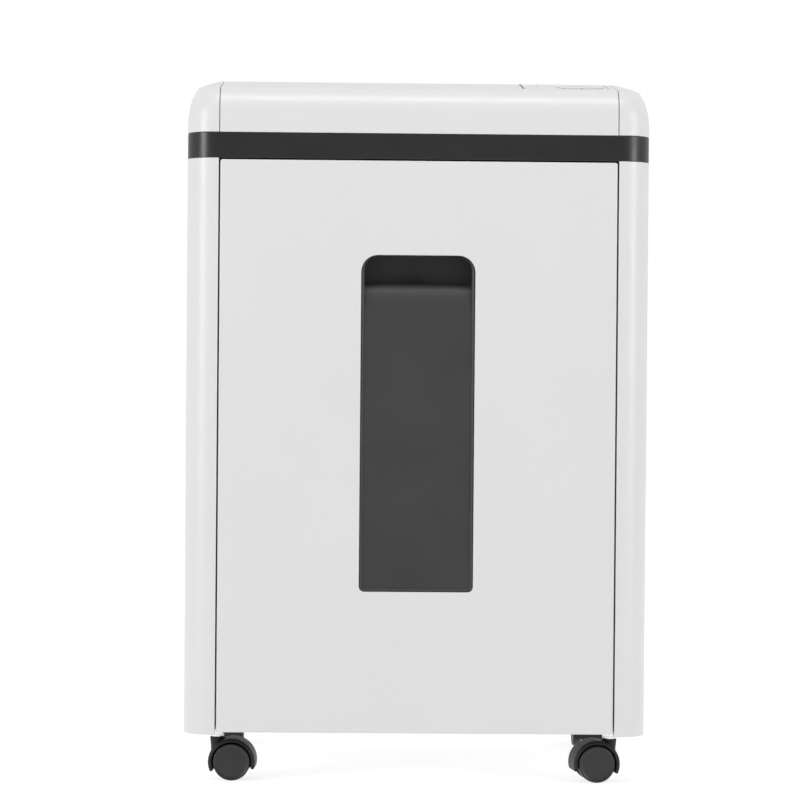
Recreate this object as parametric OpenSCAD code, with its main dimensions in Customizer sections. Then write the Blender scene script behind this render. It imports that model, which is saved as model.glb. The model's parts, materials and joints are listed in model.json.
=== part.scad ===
// Paper shredder on castors: cabinet, pull-out waste bin and a cross-cut head with its gear train.
// The front faces -Y, +X is to the right and +Z is up.
// The origin is on the floor, below the middle of the cabinet.

/* [Cabinet] */
// Overall width
body_w = 374.4; // [372:0.2:380]
// Overall depth
body_d = 280; // [280:1:290]
// Overall height, floor to lid
body_h = 575; // [574:1:590]
// Plan radius of the rounded corner posts
corner_r = 24; // [20:1:26]
// Wall of the moulded shells
shell_t = 2.5; // [2:0.1:2.8]
// Bottom edge of the shells above the floor
foot_z = 40; // [40:0.5:42]
// Height of the dark trim band
band_h = 20.9; // [18:0.1:22]

/* [Lid] */
// Height of the lid above the trim band
lid_h = 49.7; // [48:0.1:52]
// Radius of the lid's rounded front edge
nose_r = 22; // [18:1:24]
// Slope of the lid's front part, degrees
slope_a = 9; // [7:0.5:10]
// Where the slope meets the flat top, behind the front face
slope_end = 90; // [84:1:92]
// Radius of the lid's rear edge
rear_r = 16; // [10:1:20]
// Width and height of the end caps' rounded shoulder
shoulder = [24, 44]; // [20:0.5:46]

/* [Door] */
// Door width
door_w = 320; // [318:1:321]
// Gap between the door and the posts
door_gap = 1.2; // [0.8:0.1:1.4]
// Depth of the door, face to rear edge
door_d = 12; // [11:0.5:12]
// Window width
window_w = 92; // [84:1:100]
// Window height
window_h = 271.2; // [260:1:280]
// Bottom edge of the window above the floor
window_z = 156.2; // [150:1:160]
// Radii of the window's top and bottom corners
window_r = [13.7, 4.5]; // [3:0.1:15]
// Height of the finger opening at the window's top
grip_h = 22.4; // [20:0.2:26]
// Depth and height of the rolled lip below the finger opening
lip = [14, 24]; // [10:1:26]

/* [Bin] */
// Width, depth and height of the waste bin
bin_size = [296, 254, 386]; // [250:1:388]
// Wall of the bin
bin_t = 2; // [1.6:0.1:2.4]

/* [Cutters] */
// Length of the cutting rollers, for a sheet 210 wide
cut_len = 226; // [222:1:226]
// Distance between the roller axes
roller_gap = 36; // [34.5:1.5:37.5]
// Tip radius of a cutting disc
disc_r = 20; // [19.4:0.1:20]
// Radius of the roller's core
core_r = 14; // [13:0.5:14]
// Thickness of a cutting disc
disc_t = 3.4; // [3:0.1:3.5]
// Spacing of the discs along a roller
disc_pitch = 8; // [8:0.5:9]
// Radius of the roller shafts
shaft_r = 8; // [7:0.5:8]

/* [Castors] */
// Wheel radius
wheel_r = 15; // [14:0.5:15]
// Distance from the stem axis to the axle
trail = 12.3; // [12:0.1:13]
// Outer radius of the hood
hood_r = 19.2; // [19:0.1:19.6]
// Width over both wheels
castor_w = 26; // [25:0.5:27]
// Stem positions, half the spacing across and front to back
stem_x = 160; // [158:1:162]
stem_y = 105; // [103:1:106]

/* [Hidden] */
$fn = 48;
eps = 0.01;

// Cabinet
half_w = body_w / 2;
half_d = body_d / 2;
band_z = body_h - lid_h - band_h;
lid_z = body_h - lid_h;
post_x = door_w / 2 + door_gap;
seam_x = post_x - door_gap / 2;
seam_gap = 0.6;
jamb_d = 16;
pan_z = foot_z + 2;
pan_t = 3;
pan_front = 122;
back_y = half_d - 8.5;
flange_x = bin_size[0] / 2 + 0.5;
back_screw_x = flange_x + 6;
back_screw_z = [80, 273, 470];
screw_r = 1.5;

// Lid outline
nose_z = body_h - (slope_end - nose_r * (1 - sin(slope_a))) * tan(slope_a) - nose_r * cos(slope_a);
arc_steps = 9;

// Door and bin
door_z = [foot_z + 2, band_z - 1];
door_wall = 2.5;
door_back = -half_d + door_d;
window_face = -half_d + 2;
window_top = window_z + window_h;
lip_z = window_top - grip_h;
cup_depth = 36;
cup_drop = 20;
bin_z = 50;
bin_front = door_back + 2;
door_screw_at = [120, 100, 398];
frame_t = 2.7;
frame_top = 0.8;
grip_wall = 2;

// Door switch: it hangs from the deck, behind the tab on the door
switch_x = -130;
switch_y = -112;
switch_z = band_z - 10;
switch_r = 1.6;

// Head: the rollers' axes are at the height cut_z, either side of the feed slot
cut_z = band_z - 4.4;
feed_y = -25;
cut_x = [-143, -143 + cut_len];
front_y = feed_y - roller_gap / 2;
rear_y = feed_y + roller_gap / 2;
disc_count = floor(cut_len / disc_pitch);
// The first disc of each roller: the two sets run between each other
rear_first = cut_x[0] + 2;
front_first = rear_first + disc_pitch / 2;
plate_t = 3;
plate_left = cut_x[0] - 3 - plate_t;
plate_right = cut_x[1] + 3;
plate_z = [cut_z - 45.5, cut_z + 40];
plate_front = -78;
tray_z = cut_z - 48;
tray_x = [-166, 150];
tray_y = [-82, 102];
deck_t = 3;
ledge = 8;
rod_at = [[-62, cut_z - 30], [12, cut_z - 32], [-62, cut_z + 28], [14, cut_z + 28]];
bush_flange = 2;

// Gear train, driven from the motor to the rear roller: modules and numbers of teeth
timing_m = 1.5;
timing_teeth = roller_gap / timing_m;
final_m = 1.25;
final_teeth = 48;
motor_m = 1;
motor_teeth = 60;
pinion_teeth = 12;
gear_w = 10;
motor_gear_w = 8;
backlash = 0.35;
train_a = 15;
final_dist = final_m * (final_teeth + pinion_teeth) / 2;
motor_dist = motor_m * (motor_teeth + pinion_teeth) / 2;
comp_y = rear_y + final_dist * cos(train_a);
comp_z = cut_z - final_dist * sin(train_a);
motor_y = comp_y + motor_dist * cos(train_a);
motor_z = comp_z + motor_dist * sin(train_a);
timing_x = plate_right + plate_t + 5;
final_x = timing_x + gear_w + 2;
motor_gear_x = final_x + gear_w + 4;
gear_plate_x = motor_gear_x + motor_gear_w + 4;
comp_shaft_r = 4;
rear_tail_r = 5;
pillar_at = [[-30, cut_z - 34], [-30, cut_z + 34], [88, cut_z - 30], [88, cut_z + 32]];
running = 0.05;

// Motor
motor_r = 31;
motor_len = 108;
motor_x = plate_right - motor_len;
motor_shaft_r = 3;
fan_x = motor_x - 14;

// Feed throat and paper sensor
slot_w = 5;
throat_z = cut_z + 21;
rim = [cut_len + 12, 27.4];
feed_x = (cut_x[0] + cut_x[1]) / 2;
lever_y = feed_y - 16;
lever_z = cut_z + 40;
lever_x = feed_x;

// Controls, placed on the lid's slope
panel_x = 124;
panel_d = 55;
island = [8.6, -9.1];
island_r = 19.6;
power_r = 8;
ring_r = [8.8, 19];
panel_z = [-2.5, -0.2];
button_z = [-3.5, 0.5];
board_z = -12;
board_t = 1.6;
lens_x = [-12, -4, 4, 12];
lens_y = 20;
lens_r = 1.6;
strip_at = [85, 53.5];

// Rear electrics
inlet = [108, band_z - 36.4];
rocker = [64, band_z - 36.4];
rocker_tip = 8;
rocker_y = back_y + 0.5;
board_x = [-150, -80];
board_y = back_y - 12.5;

// Castors: name, stem position, direction that each one trails in
axle_z = wheel_r;
axle_r = 2.5;
pin_r = 3.5;
stem_r = 4.25;
collar_r = 5.2;
housing_z = [21, 27, 34.6];
collar_z = [34.9, 36.6];
hood_in = 16.3;
wheel_in = 6.2;
trail_fl = -3;
trail_fr = 187.5;
trail_rear = 90;

// ---------- shared shapes ----------

function arc(c, rx, ry, a0, a1) =
    [for (i = [0:arc_steps]) let (a = a0 + (a1 - a0) * i / arc_steps) [c[0] + rx * cos(a), c[1] + ry * sin(a)]];

function slope_z(d) = body_h - (slope_end - d) * tan(slope_a);

// Rounded rectangle about the origin, with true arcs
module rounded_rect(w, d, r) {
    square([w - 2 * r, d], center = true);
    square([w, d - 2 * r], center = true);
    for (sx = [-1, 1], sy = [-1, 1])
        translate([sx * (w / 2 - r), sy * (d / 2 - r)]) circle(r);
}

module block(low, high) {
    translate(low) cube(high - low);
}

// An outline drawn in (Y, Z), extruded along X between two positions
module along_x(x0, x1) {
    translate([x0, 0, 0]) rotate([90, 0, 90]) linear_extrude(x1 - x0) children();
}

module rod_x(x0, x1, y, z, r) {
    translate([x0, y, z]) rotate([0, 90, 0]) cylinder(h = x1 - x0, r = r);
}

module rod_y(y0, y1, x, z, r) {
    translate([x, y0, z]) rotate([-90, 0, 0]) cylinder(h = y1 - y0, r = r);
}

module mirror_x() {
    children();
    mirror([1, 0, 0]) children();
}

// ---------- cabinet ----------

module cabinet_plan(inset) {
    rounded_rect(body_w - 2 * inset, body_d - 2 * inset, corner_r - inset);
}

module side_plan() {
    intersection() {
        difference() {
            cabinet_plan(0);
            cabinet_plan(shell_t);
        }
        translate([post_x, -half_d]) square([half_w - post_x, body_d]);
    }
    translate([post_x, -half_d]) square([shell_t, jamb_d]);
    translate([post_x, half_d - jamb_d]) square([shell_t, jamb_d]);
    translate([flange_x, back_y - shell_t]) square([post_x - flange_x + eps, shell_t]);
}

module side_shell() {
    difference() {
        translate([0, 0, foot_z]) linear_extrude(band_z - foot_z) side_plan();
        for (z = back_screw_z) rod_y(back_y - shell_t - 1, back_y + 1, back_screw_x, z, screw_r);
    }
}

module side_panel_left() {
    color("gainsboro") mirror([1, 0, 0]) side_shell();
}

module side_panel_right() {
    color("gainsboro") side_shell();
}

module base_pan() {
    boss_r = 9;
    boss_top = pan_z + 18.3;
    color("gainsboro") difference() {
        union() {
            translate([0, 0, pan_z]) linear_extrude(pan_t) {
                intersection() {
                    cabinet_plan(shell_t);
                    square([body_w, 2 * pan_front], center = true);
                }
                translate([-flange_x, 0]) square([2 * flange_x, back_y]);
            }
            for (sx = [-1, 1], sy = [-1, 1])
                translate([sx * stem_x, sy * stem_y, pan_z]) cylinder(h = boss_top - pan_z, r = boss_r);
        }
        for (sx = [-1, 1], sy = [-1, 1])
            translate([sx * stem_x, sy * stem_y, pan_z - 1])
                cylinder(h = boss_top - pan_z, r = stem_r + running);
    }
}

module back_panel() {
    vent = [72, 3];
    vent_rows = 12;
    vent_z = band_z - 110;
    color("silver") difference() {
        block([-post_x, back_y, pan_z], [post_x, back_y + shell_t, band_z]);
        for (i = [0:vent_rows - 1])
            translate([feed_x - vent[0] / 2, back_y - 1, vent_z + i * 7]) cube([vent[0], shell_t + 2, vent[1]]);
        for (sx = [-1, 1], z = back_screw_z)
            rod_y(back_y - 1, back_y + shell_t + 1, sx * back_screw_x, z, screw_r);
        translate([inlet[0] - 13.5, back_y - 1, inlet[1] - 10]) cube([27, shell_t + 2, 20]);
        translate([rocker[0] - 6.5, back_y - 1, rocker[1] - 9.5]) cube([13, shell_t + 2, 19]);
    }
}

module back_screws() {
    head = [3.4, 1.8];
    y0 = back_y + shell_t;
    color("dimgray") for (sx = [-1, 1], z = back_screw_z)
        difference() {
            union() {
                rod_y(y0, y0 + head[1], sx * back_screw_x, z, head[0]);
                rod_y(back_y - shell_t - 2, y0, sx * back_screw_x, z, screw_r);
            }
            for (a = [0, 90])
                translate([sx * back_screw_x, y0 + head[1], z]) rotate([0, a, 0])
                    cube([4, 2, 0.8], center = true);
        }
}

module bin_runners() {
    rail_y = [-118, 126];
    in_x = bin_size[0] / 2;
    z0 = pan_z + pan_t;
    color("lightgray") mirror_x() {
        block([in_x - 14, rail_y[0], z0], [in_x + 2.6, rail_y[1], bin_z - 0.3]);
        block([in_x + 0.4, rail_y[0], bin_z - 0.3 - eps], [in_x + 2.6, rail_y[1], bin_z + 12]);
    }
}

module interlock_switch() {
    color("dimgray") difference() {
        block([switch_x - 10, switch_y, switch_z - 5], [switch_x + 10, switch_y + 12, band_z]);
        rod_y(switch_y - 1, switch_y + 8, switch_x, switch_z, switch_r + running);
    }
}

module interlock_plunger() {
    color("firebrick") {
        rod_y(switch_y - 6, switch_y + 6, switch_x, switch_z, switch_r);
        rod_y(switch_y - 6, switch_y - 4.5, switch_x, switch_z, switch_r + 1);
    }
}

module trim_band() {
    wall = 3;
    color("dimgray") {
        translate([0, 0, band_z]) linear_extrude(band_h) difference() {
            cabinet_plan(0);
            cabinet_plan(wall);
        }
        translate([0, 0, band_z]) linear_extrude(deck_t) difference() {
            cabinet_plan(wall - eps);
            translate([tray_x[0], tray_y[0]]) square([tray_x[1] - tray_x[0], tray_y[1] - tray_y[0]]);
        }
    }
}

// ---------- lid ----------

// Side outline of the lid in (Y, Z), moved inward by inset
function lid_profile(inset) = let (
    nose_y = -half_d + nose_r,
    r = nose_r - inset,
    top = body_h - inset,
    slope_y = nose_y - r * sin(slope_a),
    flat_y = slope_y + (top - nose_z - r * cos(slope_a)) / tan(slope_a),
    rear = [half_d - rear_r, body_h - rear_r]
) concat(
    [[-half_d + inset, lid_z - (inset > 0 ? 1 : 0)]],
    arc([nose_y, nose_z], r, r, 180, 90 + slope_a),
    [[flat_y, top]],
    arc(rear, rear_r - inset, rear_r - inset, 90, 0),
    [[half_d - inset, lid_z - (inset > 0 ? 1 : 0)]]
);

// Front outline of the right end cap in (X, Z), moved inward by inset
function cap_profile(inset) = concat(
    [[seam_x - 2, lid_z - 2]],
    [[half_w - inset, lid_z - 2]],
    arc([half_w - shoulder[0], body_h - shoulder[1]], shoulder[0] - inset, shoulder[1] - inset, 0, 90),
    [[seam_x - 2, body_h - inset]]
);

module cap_body(inset) {
    intersection() {
        along_x(seam_x - 1, half_w) polygon(lid_profile(inset));
        rotate([90, 0, 0]) translate([0, 0, -half_d]) linear_extrude(body_d) polygon(cap_profile(inset));
        translate([0, 0, lid_z - 2]) linear_extrude(lid_h + 4) cabinet_plan(inset);
    }
}

module end_cap() {
    difference() {
        cap_body(0);
        cap_body(shell_t);
        block([0, -half_d - 1, lid_z - 3], [seam_x + seam_gap / 2, half_d + 1, body_h + 1]);
    }
}

module end_cap_left() {
    color("gainsboro") mirror([1, 0, 0]) end_cap();
}

module end_cap_right() {
    color("gainsboro") end_cap();
}

module on_slope(x = panel_x, d = panel_d) {
    translate([x, -half_d + d, slope_z(d)]) rotate([slope_a, 0, 0]) children();
}

module slab(z) {
    translate([0, 0, z[0]]) linear_extrude(z[1] - z[0]) children();
}

module strip_body(grow) {
    strip = [1.6, 61];
    on_slope(strip_at[0], strip_at[1]) slab([-shell_t - (grow > 0 ? 2 : 0), grow > 0 ? 2 : 0.1])
        square([strip[0] + 2 * grow, strip[1] + 2 * grow], center = true);
}

module panel_outline(grow) {
    intersection() {
        translate([1.5, 0]) rounded_rect(59 + 2 * grow, 64 + 2 * grow, 8 + grow);
        translate([63.6, 5]) circle(90 + grow, $fn = 180);
    }
}

module top_cover() {
    cover_x = seam_x - seam_gap / 2;
    color("gainsboro") difference() {
        along_x(-cover_x, cover_x) difference() {
            polygon(lid_profile(0));
            polygon(lid_profile(shell_t));
        }
        translate([feed_x, feed_y, body_h - 10]) linear_extrude(20) rounded_rect(rim[0] + 0.6, rim[1] + 0.6, 3);
        on_slope() slab([-8, 8]) panel_outline(0.3);
        strip_body(0.05);
    }
}

module trim_strip() {
    color("dimgray") strip_body(0);
}

module control_panel() {
    color("whitesmoke") on_slope() difference() {
        union() {
            slab(panel_z) panel_outline(0);
            slab([panel_z[0] - 2, panel_z[0]]) panel_outline(3);
            for (p = [[-18, -22], [26, -28], [-18, 25], [26, 25]])
                translate([p[0], p[1], board_z + board_t])
                    cylinder(h = panel_z[0] - 2 - board_z - board_t, r = 2.5);
        }
        translate(island) slab([-6, 2]) circle(island_r);
        for (x = lens_x) translate([island[0] + x, lens_y, -6]) cylinder(h = 8, r = lens_r);
    }
}

module indicator_lenses() {
    color("lightcyan") on_slope()
        for (x = lens_x) translate([island[0] + x, lens_y, -5]) cylinder(h = 4.8, r = lens_r);
}

module button_stem(x) {
    translate([x, 0, -6]) cylinder(h = 3, r = 1.8);
}

module button_power() {
    color("white") on_slope() translate(island) {
        slab(button_z) circle(power_r);
        button_stem(0);
    }
}

module half_ring() {
    slab(button_z) intersection() {
        difference() {
            circle(ring_r[1]);
            circle(ring_r[0]);
        }
        translate([0.5, -25]) square([25, 50]);
    }
    button_stem(14);
}

module button_reverse() {
    color("white") on_slope() translate(island) mirror([1, 0, 0]) half_ring();
}

module button_forward() {
    color("white") on_slope() translate(island) half_ring();
}

module control_board() {
    board = [54, 60];
    color("darkgreen") on_slope() {
        translate([4, -1.5, board_z]) slab([0, board_t]) rounded_rect(board[0], board[1], 2);
        for (x = [-14, 0, 14])
            translate([island[0] + x, island[1], board_z + board_t + 1.2])
                cube([6, 6, 2.4 + eps], center = true);
        for (x = lens_x)
            translate([island[0] + x, lens_y, board_z + board_t - eps]) cylinder(h = 3, r = 1.4);
    }
}

// ---------- feed throat and paper sensor ----------

module throat_outline(half_top, half_slot, top, bottom) {
    translate([feed_y, 0]) polygon([[-half_top, top], [half_top, top], [half_slot, top - 23],
        [half_slot, bottom], [-half_slot, bottom], [-half_slot, top - 23]]);
}

module feed_throat() {
    wall = 2.5;
    color("dimgray") difference() {
        union() {
            along_x(cut_x[0] - wall, cut_x[1] + wall)
                throat_outline(11.5, slot_w / 2 + wall, body_h - 2, throat_z);
            translate([feed_x, feed_y, body_h - 3]) linear_extrude(3) rounded_rect(rim[0], rim[1], 3);
            for (s = [-1, 1])
                translate([lever_x + s * 5 - 1, lever_y - 5, lever_z - 6]) cube([2, 12, 12]);
        }
        along_x(cut_x[0], cut_x[1]) throat_outline(9, slot_w / 2, body_h + eps, throat_z - 1);
        translate([lever_x - 2.6, lever_y + 4, throat_z + 3]) cube([5.2, 14, 22]);
        rod_x(lever_x - 8, lever_x + 8, lever_y, lever_z, 1.5 + running);
    }
}

module sensor_lever() {
    reach = 17.4;
    color("black") {
        rod_x(lever_x - 3.6, lever_x + 3.6, lever_y, lever_z, 3);
        rod_x(lever_x - 6, lever_x + 6, lever_y, lever_z, 1.5);
        translate([lever_x, lever_y, lever_z]) rotate([-20, 0, 0])
            translate([-2, 0, -1.2]) cube([4, reach, 2.4]);
        translate([lever_x, lever_y, lever_z]) rotate([20, 0, 0])
            translate([-2, -1.2, 0]) cube([4, 2.4, 9]);
    }
}

// ---------- head tray and cutters ----------

module head_tray() {
    wall = 2.5;
    low = [tray_x[0], tray_y[0]];
    size = [tray_x[1] - tray_x[0], tray_y[1] - tray_y[0]];
    top = band_z + deck_t;
    color("dimgray") difference() {
        union() {
            translate([low[0], low[1], tray_z]) cube([size[0], size[1], top + wall - tray_z]);
            translate([low[0] - ledge, low[1] - ledge, top])
                cube([size[0] + 2 * ledge, size[1] + 2 * ledge, wall]);
        }
        translate([low[0] + wall, low[1] + wall, tray_z + wall])
            cube([size[0] - 2 * wall, size[1] - 2 * wall, top + wall - tray_z]);
        block([cut_x[0], -62, tray_z - 1], [cut_x[1], 12, tray_z + wall + 1]);
    }
}

module plate_outline(y0, y1) {
    translate([(y0 + y1) / 2, (plate_z[0] + plate_z[1]) / 2])
        rounded_rect(y1 - y0, plate_z[1] - plate_z[0], 6);
}

module rod_holes(x) {
    for (p = rod_at) rod_x(x - 1, x + plate_t + 1, p[0], p[1], 3);
    for (y = [front_y, rear_y]) rod_x(x - 1, x + plate_t + 1, y, cut_z, 11);
}

module cutter_plate_left() {
    color("slategray") difference() {
        along_x(plate_left, plate_left + plate_t) plate_outline(plate_front, 30);
        rod_holes(plate_left);
    }
}

module cutter_plate_right() {
    color("slategray") difference() {
        along_x(plate_right, plate_right + plate_t) plate_outline(plate_front, 98);
        rod_holes(plate_right);
        rod_x(plate_right - 1, plate_right + plate_t + 1, motor_y, motor_z, 10);
        rod_x(plate_right - 1, plate_right + plate_t + 1, comp_y, comp_z, 7);
    }
}

module tie_rods() {
    color("silver") for (p = rod_at) {
        rod_x(plate_left + plate_t, plate_right, p[0], p[1], 4);
        rod_x(plate_left - 4.5, plate_right + plate_t + 4.5, p[0], p[1], 3);
        for (x = [plate_left - 3.2, plate_right + plate_t])
            translate([x, p[0], p[1]]) rotate([0, 90, 0]) cylinder(h = 3.2, r = 5.8, $fn = 6);
    }
}

module bush(x, out, y, z, bore, wall) {
    difference() {
        union() {
            rod_x(x, x + plate_t, y, z, bore + wall);
            rod_x(out < 0 ? x - bush_flange : x + plate_t, out < 0 ? x : x + plate_t + bush_flange, y, z,
                bore + wall + 1.5);
        }
        rod_x(x - 5, x + plate_t + 5, y, z, bore + running);
    }
}

module shaft_bushes() {
    color("goldenrod") {
        for (y = [front_y, rear_y]) {
            bush(plate_left, -1, y, cut_z, shaft_r, 3);
            bush(plate_right, 1, y, cut_z, shaft_r, 3);
        }
        bush(plate_right, 1, comp_y, comp_z, comp_shaft_r, 3);
        bush(gear_plate_x, 1, comp_y, comp_z, comp_shaft_r, 3);
        bush(gear_plate_x, 1, rear_y, cut_z, rear_tail_r, 3);
    }
}

// Combs that lift the cuttings off the rollers: a bar with one finger in each gap between discs
module comb(y, out, first) {
    finger_t = 3.2;
    reach = 28;
    half_h = 17;
    sx = out < 0 ? 1 : 0;
    translate([0, y, cut_z]) mirror([0, sx, 0]) {
        block([plate_left + plate_t, reach - 4, -half_h], [plate_right, reach, half_h]);
        for (i = [0:disc_count - 2]) {
            mid = first + (i + 0.5) * disc_pitch;
            along_x(mid - finger_t / 2, mid + finger_t / 2) difference() {
                translate([2, -half_h]) square([reach - 3, 2 * half_h]);
                circle(core_r + 0.6);
            }
        }
    }
}

module stripper_combs() {
    color("dimgray") {
        comb(front_y, -1, front_first);
        comb(rear_y, 1, rear_first);
    }
}

module disc_outline() {
    hooks = 6;
    circle(disc_r - 1.4);
    for (i = [0:hooks - 1]) rotate(i * 360 / hooks)
        polygon([[disc_r - 5, -3], [disc_r, 0], [disc_r - 5, 9]]);
}

module cutter_roller(y, first, tip_turn) {
    rod_x(cut_x[0], cut_x[1], y, cut_z, core_r);
    for (i = [0:disc_count - 1])
        translate([first + i * disc_pitch - disc_t / 2, y, cut_z]) rotate([90, 0, 90]) rotate(tip_turn + i * 20)
            linear_extrude(disc_t) disc_outline();
    rod_x(plate_left - 5, timing_x + gear_w + 1, y, cut_z, shaft_r);
}

module roller_front() {
    color("lightslategray") cutter_roller(front_y, front_first, 0);
}

module roller_rear() {
    color("lightslategray") {
        cutter_roller(rear_y, rear_first, 10);
        rod_x(timing_x + gear_w, final_x + gear_w + 1, rear_y, cut_z, shaft_r);
        rod_x(final_x + gear_w, gear_plate_x + plate_t + 1, rear_y, cut_z, rear_tail_r);
    }
}

// ---------- gears ----------

function involute(a) = tan(a) * 180 / PI - a;

// Half of a tooth's angle at radius r: module m, n teeth, 20 degree pressure angle
function tooth_half(m, n, r) = let (base = m * n / 2 * cos(20))
    90 / n - backlash * 180 / (PI * m * n) + involute(20) - (r > base ? involute(acos(base / r)) : 0);

function gear_outline(m, n, turn) = let (
    root = m * n / 2 - 1.25 * m,
    tip = m * n / 2 + 0.85 * m,
    start = max(root, m * n / 2 * cos(20)) + eps,
    rs = concat([root], [for (i = [0:3]) start + (tip - start) * i / 3])
) [for (k = [0:n - 1], j = [0:9])
    let (r = rs[j < 5 ? j : 9 - j], side = j < 5 ? -1 : 1, a = turn + k * 360 / n + side * tooth_half(m, n, r))
    [r * cos(a), r * sin(a)]];

module gear(x, w, y, z, m, n, turn, bore) {
    difference() {
        translate([x, y, z]) rotate([90, 0, 90]) linear_extrude(w) polygon(gear_outline(m, n, turn));
        if (bore > 0) rod_x(x - 1, x + w + 1, y, z, bore);
    }
}

module timing_gear_front() {
    half_tooth = 180 / timing_teeth;
    color("darkgray") gear(timing_x, gear_w, front_y, cut_z, timing_m, timing_teeth, half_tooth, shaft_r);
}

module timing_gear_rear() {
    color("darkgray") gear(timing_x, gear_w, rear_y, cut_z, timing_m, timing_teeth, 0, shaft_r);
}

module final_gear() {
    color("darkgray") gear(final_x, gear_w, rear_y, cut_z, final_m, final_teeth, 0, shaft_r);
}

module compound_gear() {
    color("ivory") {
        gear(final_x, gear_w, comp_y, comp_z, final_m, pinion_teeth, 0, 0);
        gear(motor_gear_x, motor_gear_w, comp_y, comp_z, motor_m, motor_teeth, 180 / motor_teeth, 0);
        rod_x(final_x + gear_w + 0.5, motor_gear_x + eps, comp_y, comp_z, 9);
        rod_x(plate_right - 1, gear_plate_x + plate_t + 1, comp_y, comp_z, comp_shaft_r);
    }
}

module gear_plate() {
    color("slategray") {
        difference() {
            along_x(gear_plate_x, gear_plate_x + plate_t) translate([29, cut_z]) rounded_rect(134, 84, 6);
            rod_x(gear_plate_x - 1, gear_plate_x + 5, rear_y, cut_z, rear_tail_r + 3);
            rod_x(gear_plate_x - 1, gear_plate_x + 5, comp_y, comp_z, comp_shaft_r + 3);
            rod_x(gear_plate_x - 1, gear_plate_x + 5, motor_y, motor_z, 8);
        }
        for (p = pillar_at) rod_x(plate_right + plate_t, gear_plate_x + eps, p[0], p[1], 4);
    }
}

// ---------- motor ----------

module motor_can() {
    color("steelblue") difference() {
        union() {
            rod_x(motor_x, plate_right, motor_y, motor_z, motor_r);
            rod_x(plate_right - eps, plate_right + plate_t, motor_y, motor_z, 10);
            rod_x(motor_x - 3, motor_x + eps, motor_y, motor_z, 9);
        }
        rod_x(motor_x + 3, plate_right - 3, motor_y, motor_z, motor_r - 3);
        rod_x(motor_x - 4, plate_right + 5, motor_y, motor_z, motor_shaft_r + running);
    }
}

module motor_rotor() {
    color("peru") {
        rod_x(fan_x - 1, motor_gear_x + motor_gear_w + 1, motor_y, motor_z, motor_shaft_r);
        rod_x(motor_x + 16, plate_right - 18, motor_y, motor_z, 24);
    }
}

module motor_pinion() {
    color("khaki") gear(motor_gear_x, motor_gear_w, motor_y, motor_z, motor_m, pinion_teeth, 0, motor_shaft_r);
}

module cooling_fan() {
    blades = 7;
    color("dimgray") difference() {
        union() {
            rod_x(fan_x, fan_x + 9, motor_y, motor_z, 7);
            for (i = [0:blades - 1])
                translate([fan_x + 4.5, motor_y, motor_z]) rotate([i * 360 / blades, 0, 0])
                    translate([0, 0, 16]) rotate([0, 0, 35]) cube([1.4, 11, 20], center = true);
        }
        rod_x(fan_x - 1, fan_x + 12, motor_y, motor_z, motor_shaft_r);
    }
}

// ---------- electrics ----------

module power_board() {
    z0 = tray_z + 2;
    color("darkgreen") {
        block([board_x[0], board_y, z0], [board_x[1], board_y + board_t, z0 + 46]);
        for (x = [board_x[0] + 5, board_x[1] - 5], z = [z0 + 5, z0 + 41])
            rod_y(board_y + board_t - eps, back_y, x, z, 2.5);
        rod_x(board_x[0] + 5, board_x[0] + 45, board_y - 7.8, z0 + 34, 8);
        block([board_x[1] - 20, board_y - 14, z0 + 24], [board_x[1] - 4, board_y + eps, z0 + 38]);
        block([board_x[0] + 10, board_y - 15, z0 + 2], [board_x[0] + 36, board_y + eps, z0 + 22]);
        block([board_x[1] - 28, board_y - 9, z0 + 2], [board_x[1] - 4, board_y + eps, z0 + 12]);
    }
}

module wire(points, r) {
    for (i = [0:len(points) - 2]) {
        v = points[i + 1] - points[i];
        translate(points[i]) rotate([0, acos(v[2] / norm(v)), atan2(v[1], v[0])]) cylinder(h = norm(v), r = r);
    }
    if (len(points) > 2)
        for (i = [1:len(points) - 2]) translate(points[i]) sphere(1.1 * r);
}

module wire_harness() {
    y = board_y - 11.6;
    z = tray_z + 9;
    color("gray") {
        wire([[board_x[1] - 10, board_y - 9, z], [board_x[1] - 10, y, z], [inlet[0], y, z],
            [inlet[0], back_y - 19.5, z]], 2.2);
        wire([[rocker[0], y, z], [rocker[0], back_y - 15.5, z]], 1.8);
        wire([[20, y, z], [20, tray_y[1], z]], 1.8);
    }
}

module power_entry() {
    y0 = back_y + shell_t;
    color("black") {
        difference() {
            union() {
                block([inlet[0] - 16, y0, inlet[1] - 12.5], [inlet[0] + 16, y0 + 2, inlet[1] + 12.5]);
                block([inlet[0] - 13.5, back_y - 19.5, inlet[1] - 10],
                    [inlet[0] + 13.5, y0 + eps, inlet[1] + 10]);
            }
            block([inlet[0] - 12, back_y - 12, inlet[1] - 8], [inlet[0] + 12, y0 + 3, inlet[1] + 8]);
        }
        for (p = [[-7, -2], [0, 2], [7, -2]])
            translate([inlet[0] + p[0], back_y - 6.5, inlet[1] + p[1]]) cube([2, 13, 5], center = true);
        difference() {
            union() {
                block([rocker[0] - 8, y0, rocker[1] - 11], [rocker[0] + 8, y0 + 2, rocker[1] + 11]);
                block([rocker[0] - 6.5, back_y - 15.5, rocker[1] - 9.5],
                    [rocker[0] + 6.5, y0 + eps, rocker[1] + 9.5]);
            }
            block([rocker[0] - 5.4, back_y - 9.5, rocker[1] - 8.4], [rocker[0] + 5.4, y0 + 3, rocker[1] + 8.4]);
            rod_x(rocker[0] - 7, rocker[0] + 7, rocker_y, rocker[1], 1.2 + running);
        }
    }
}

module rocker_paddle() {
    half = 7.4;
    color("darkred") translate([rocker[0], rocker_y, rocker[1]]) rotate([rocker_tip, 0, 0]) {
        along_x(-5.1, 5.1) polygon([[0.4, -half], [4.3, -half], [3.1, 0], [4.3, half], [0.4, half], [-3.5, 0]]);
        rod_x(-6.3, 6.3, 0, 0, 1.2);
    }
}

// ---------- door and bin ----------

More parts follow.
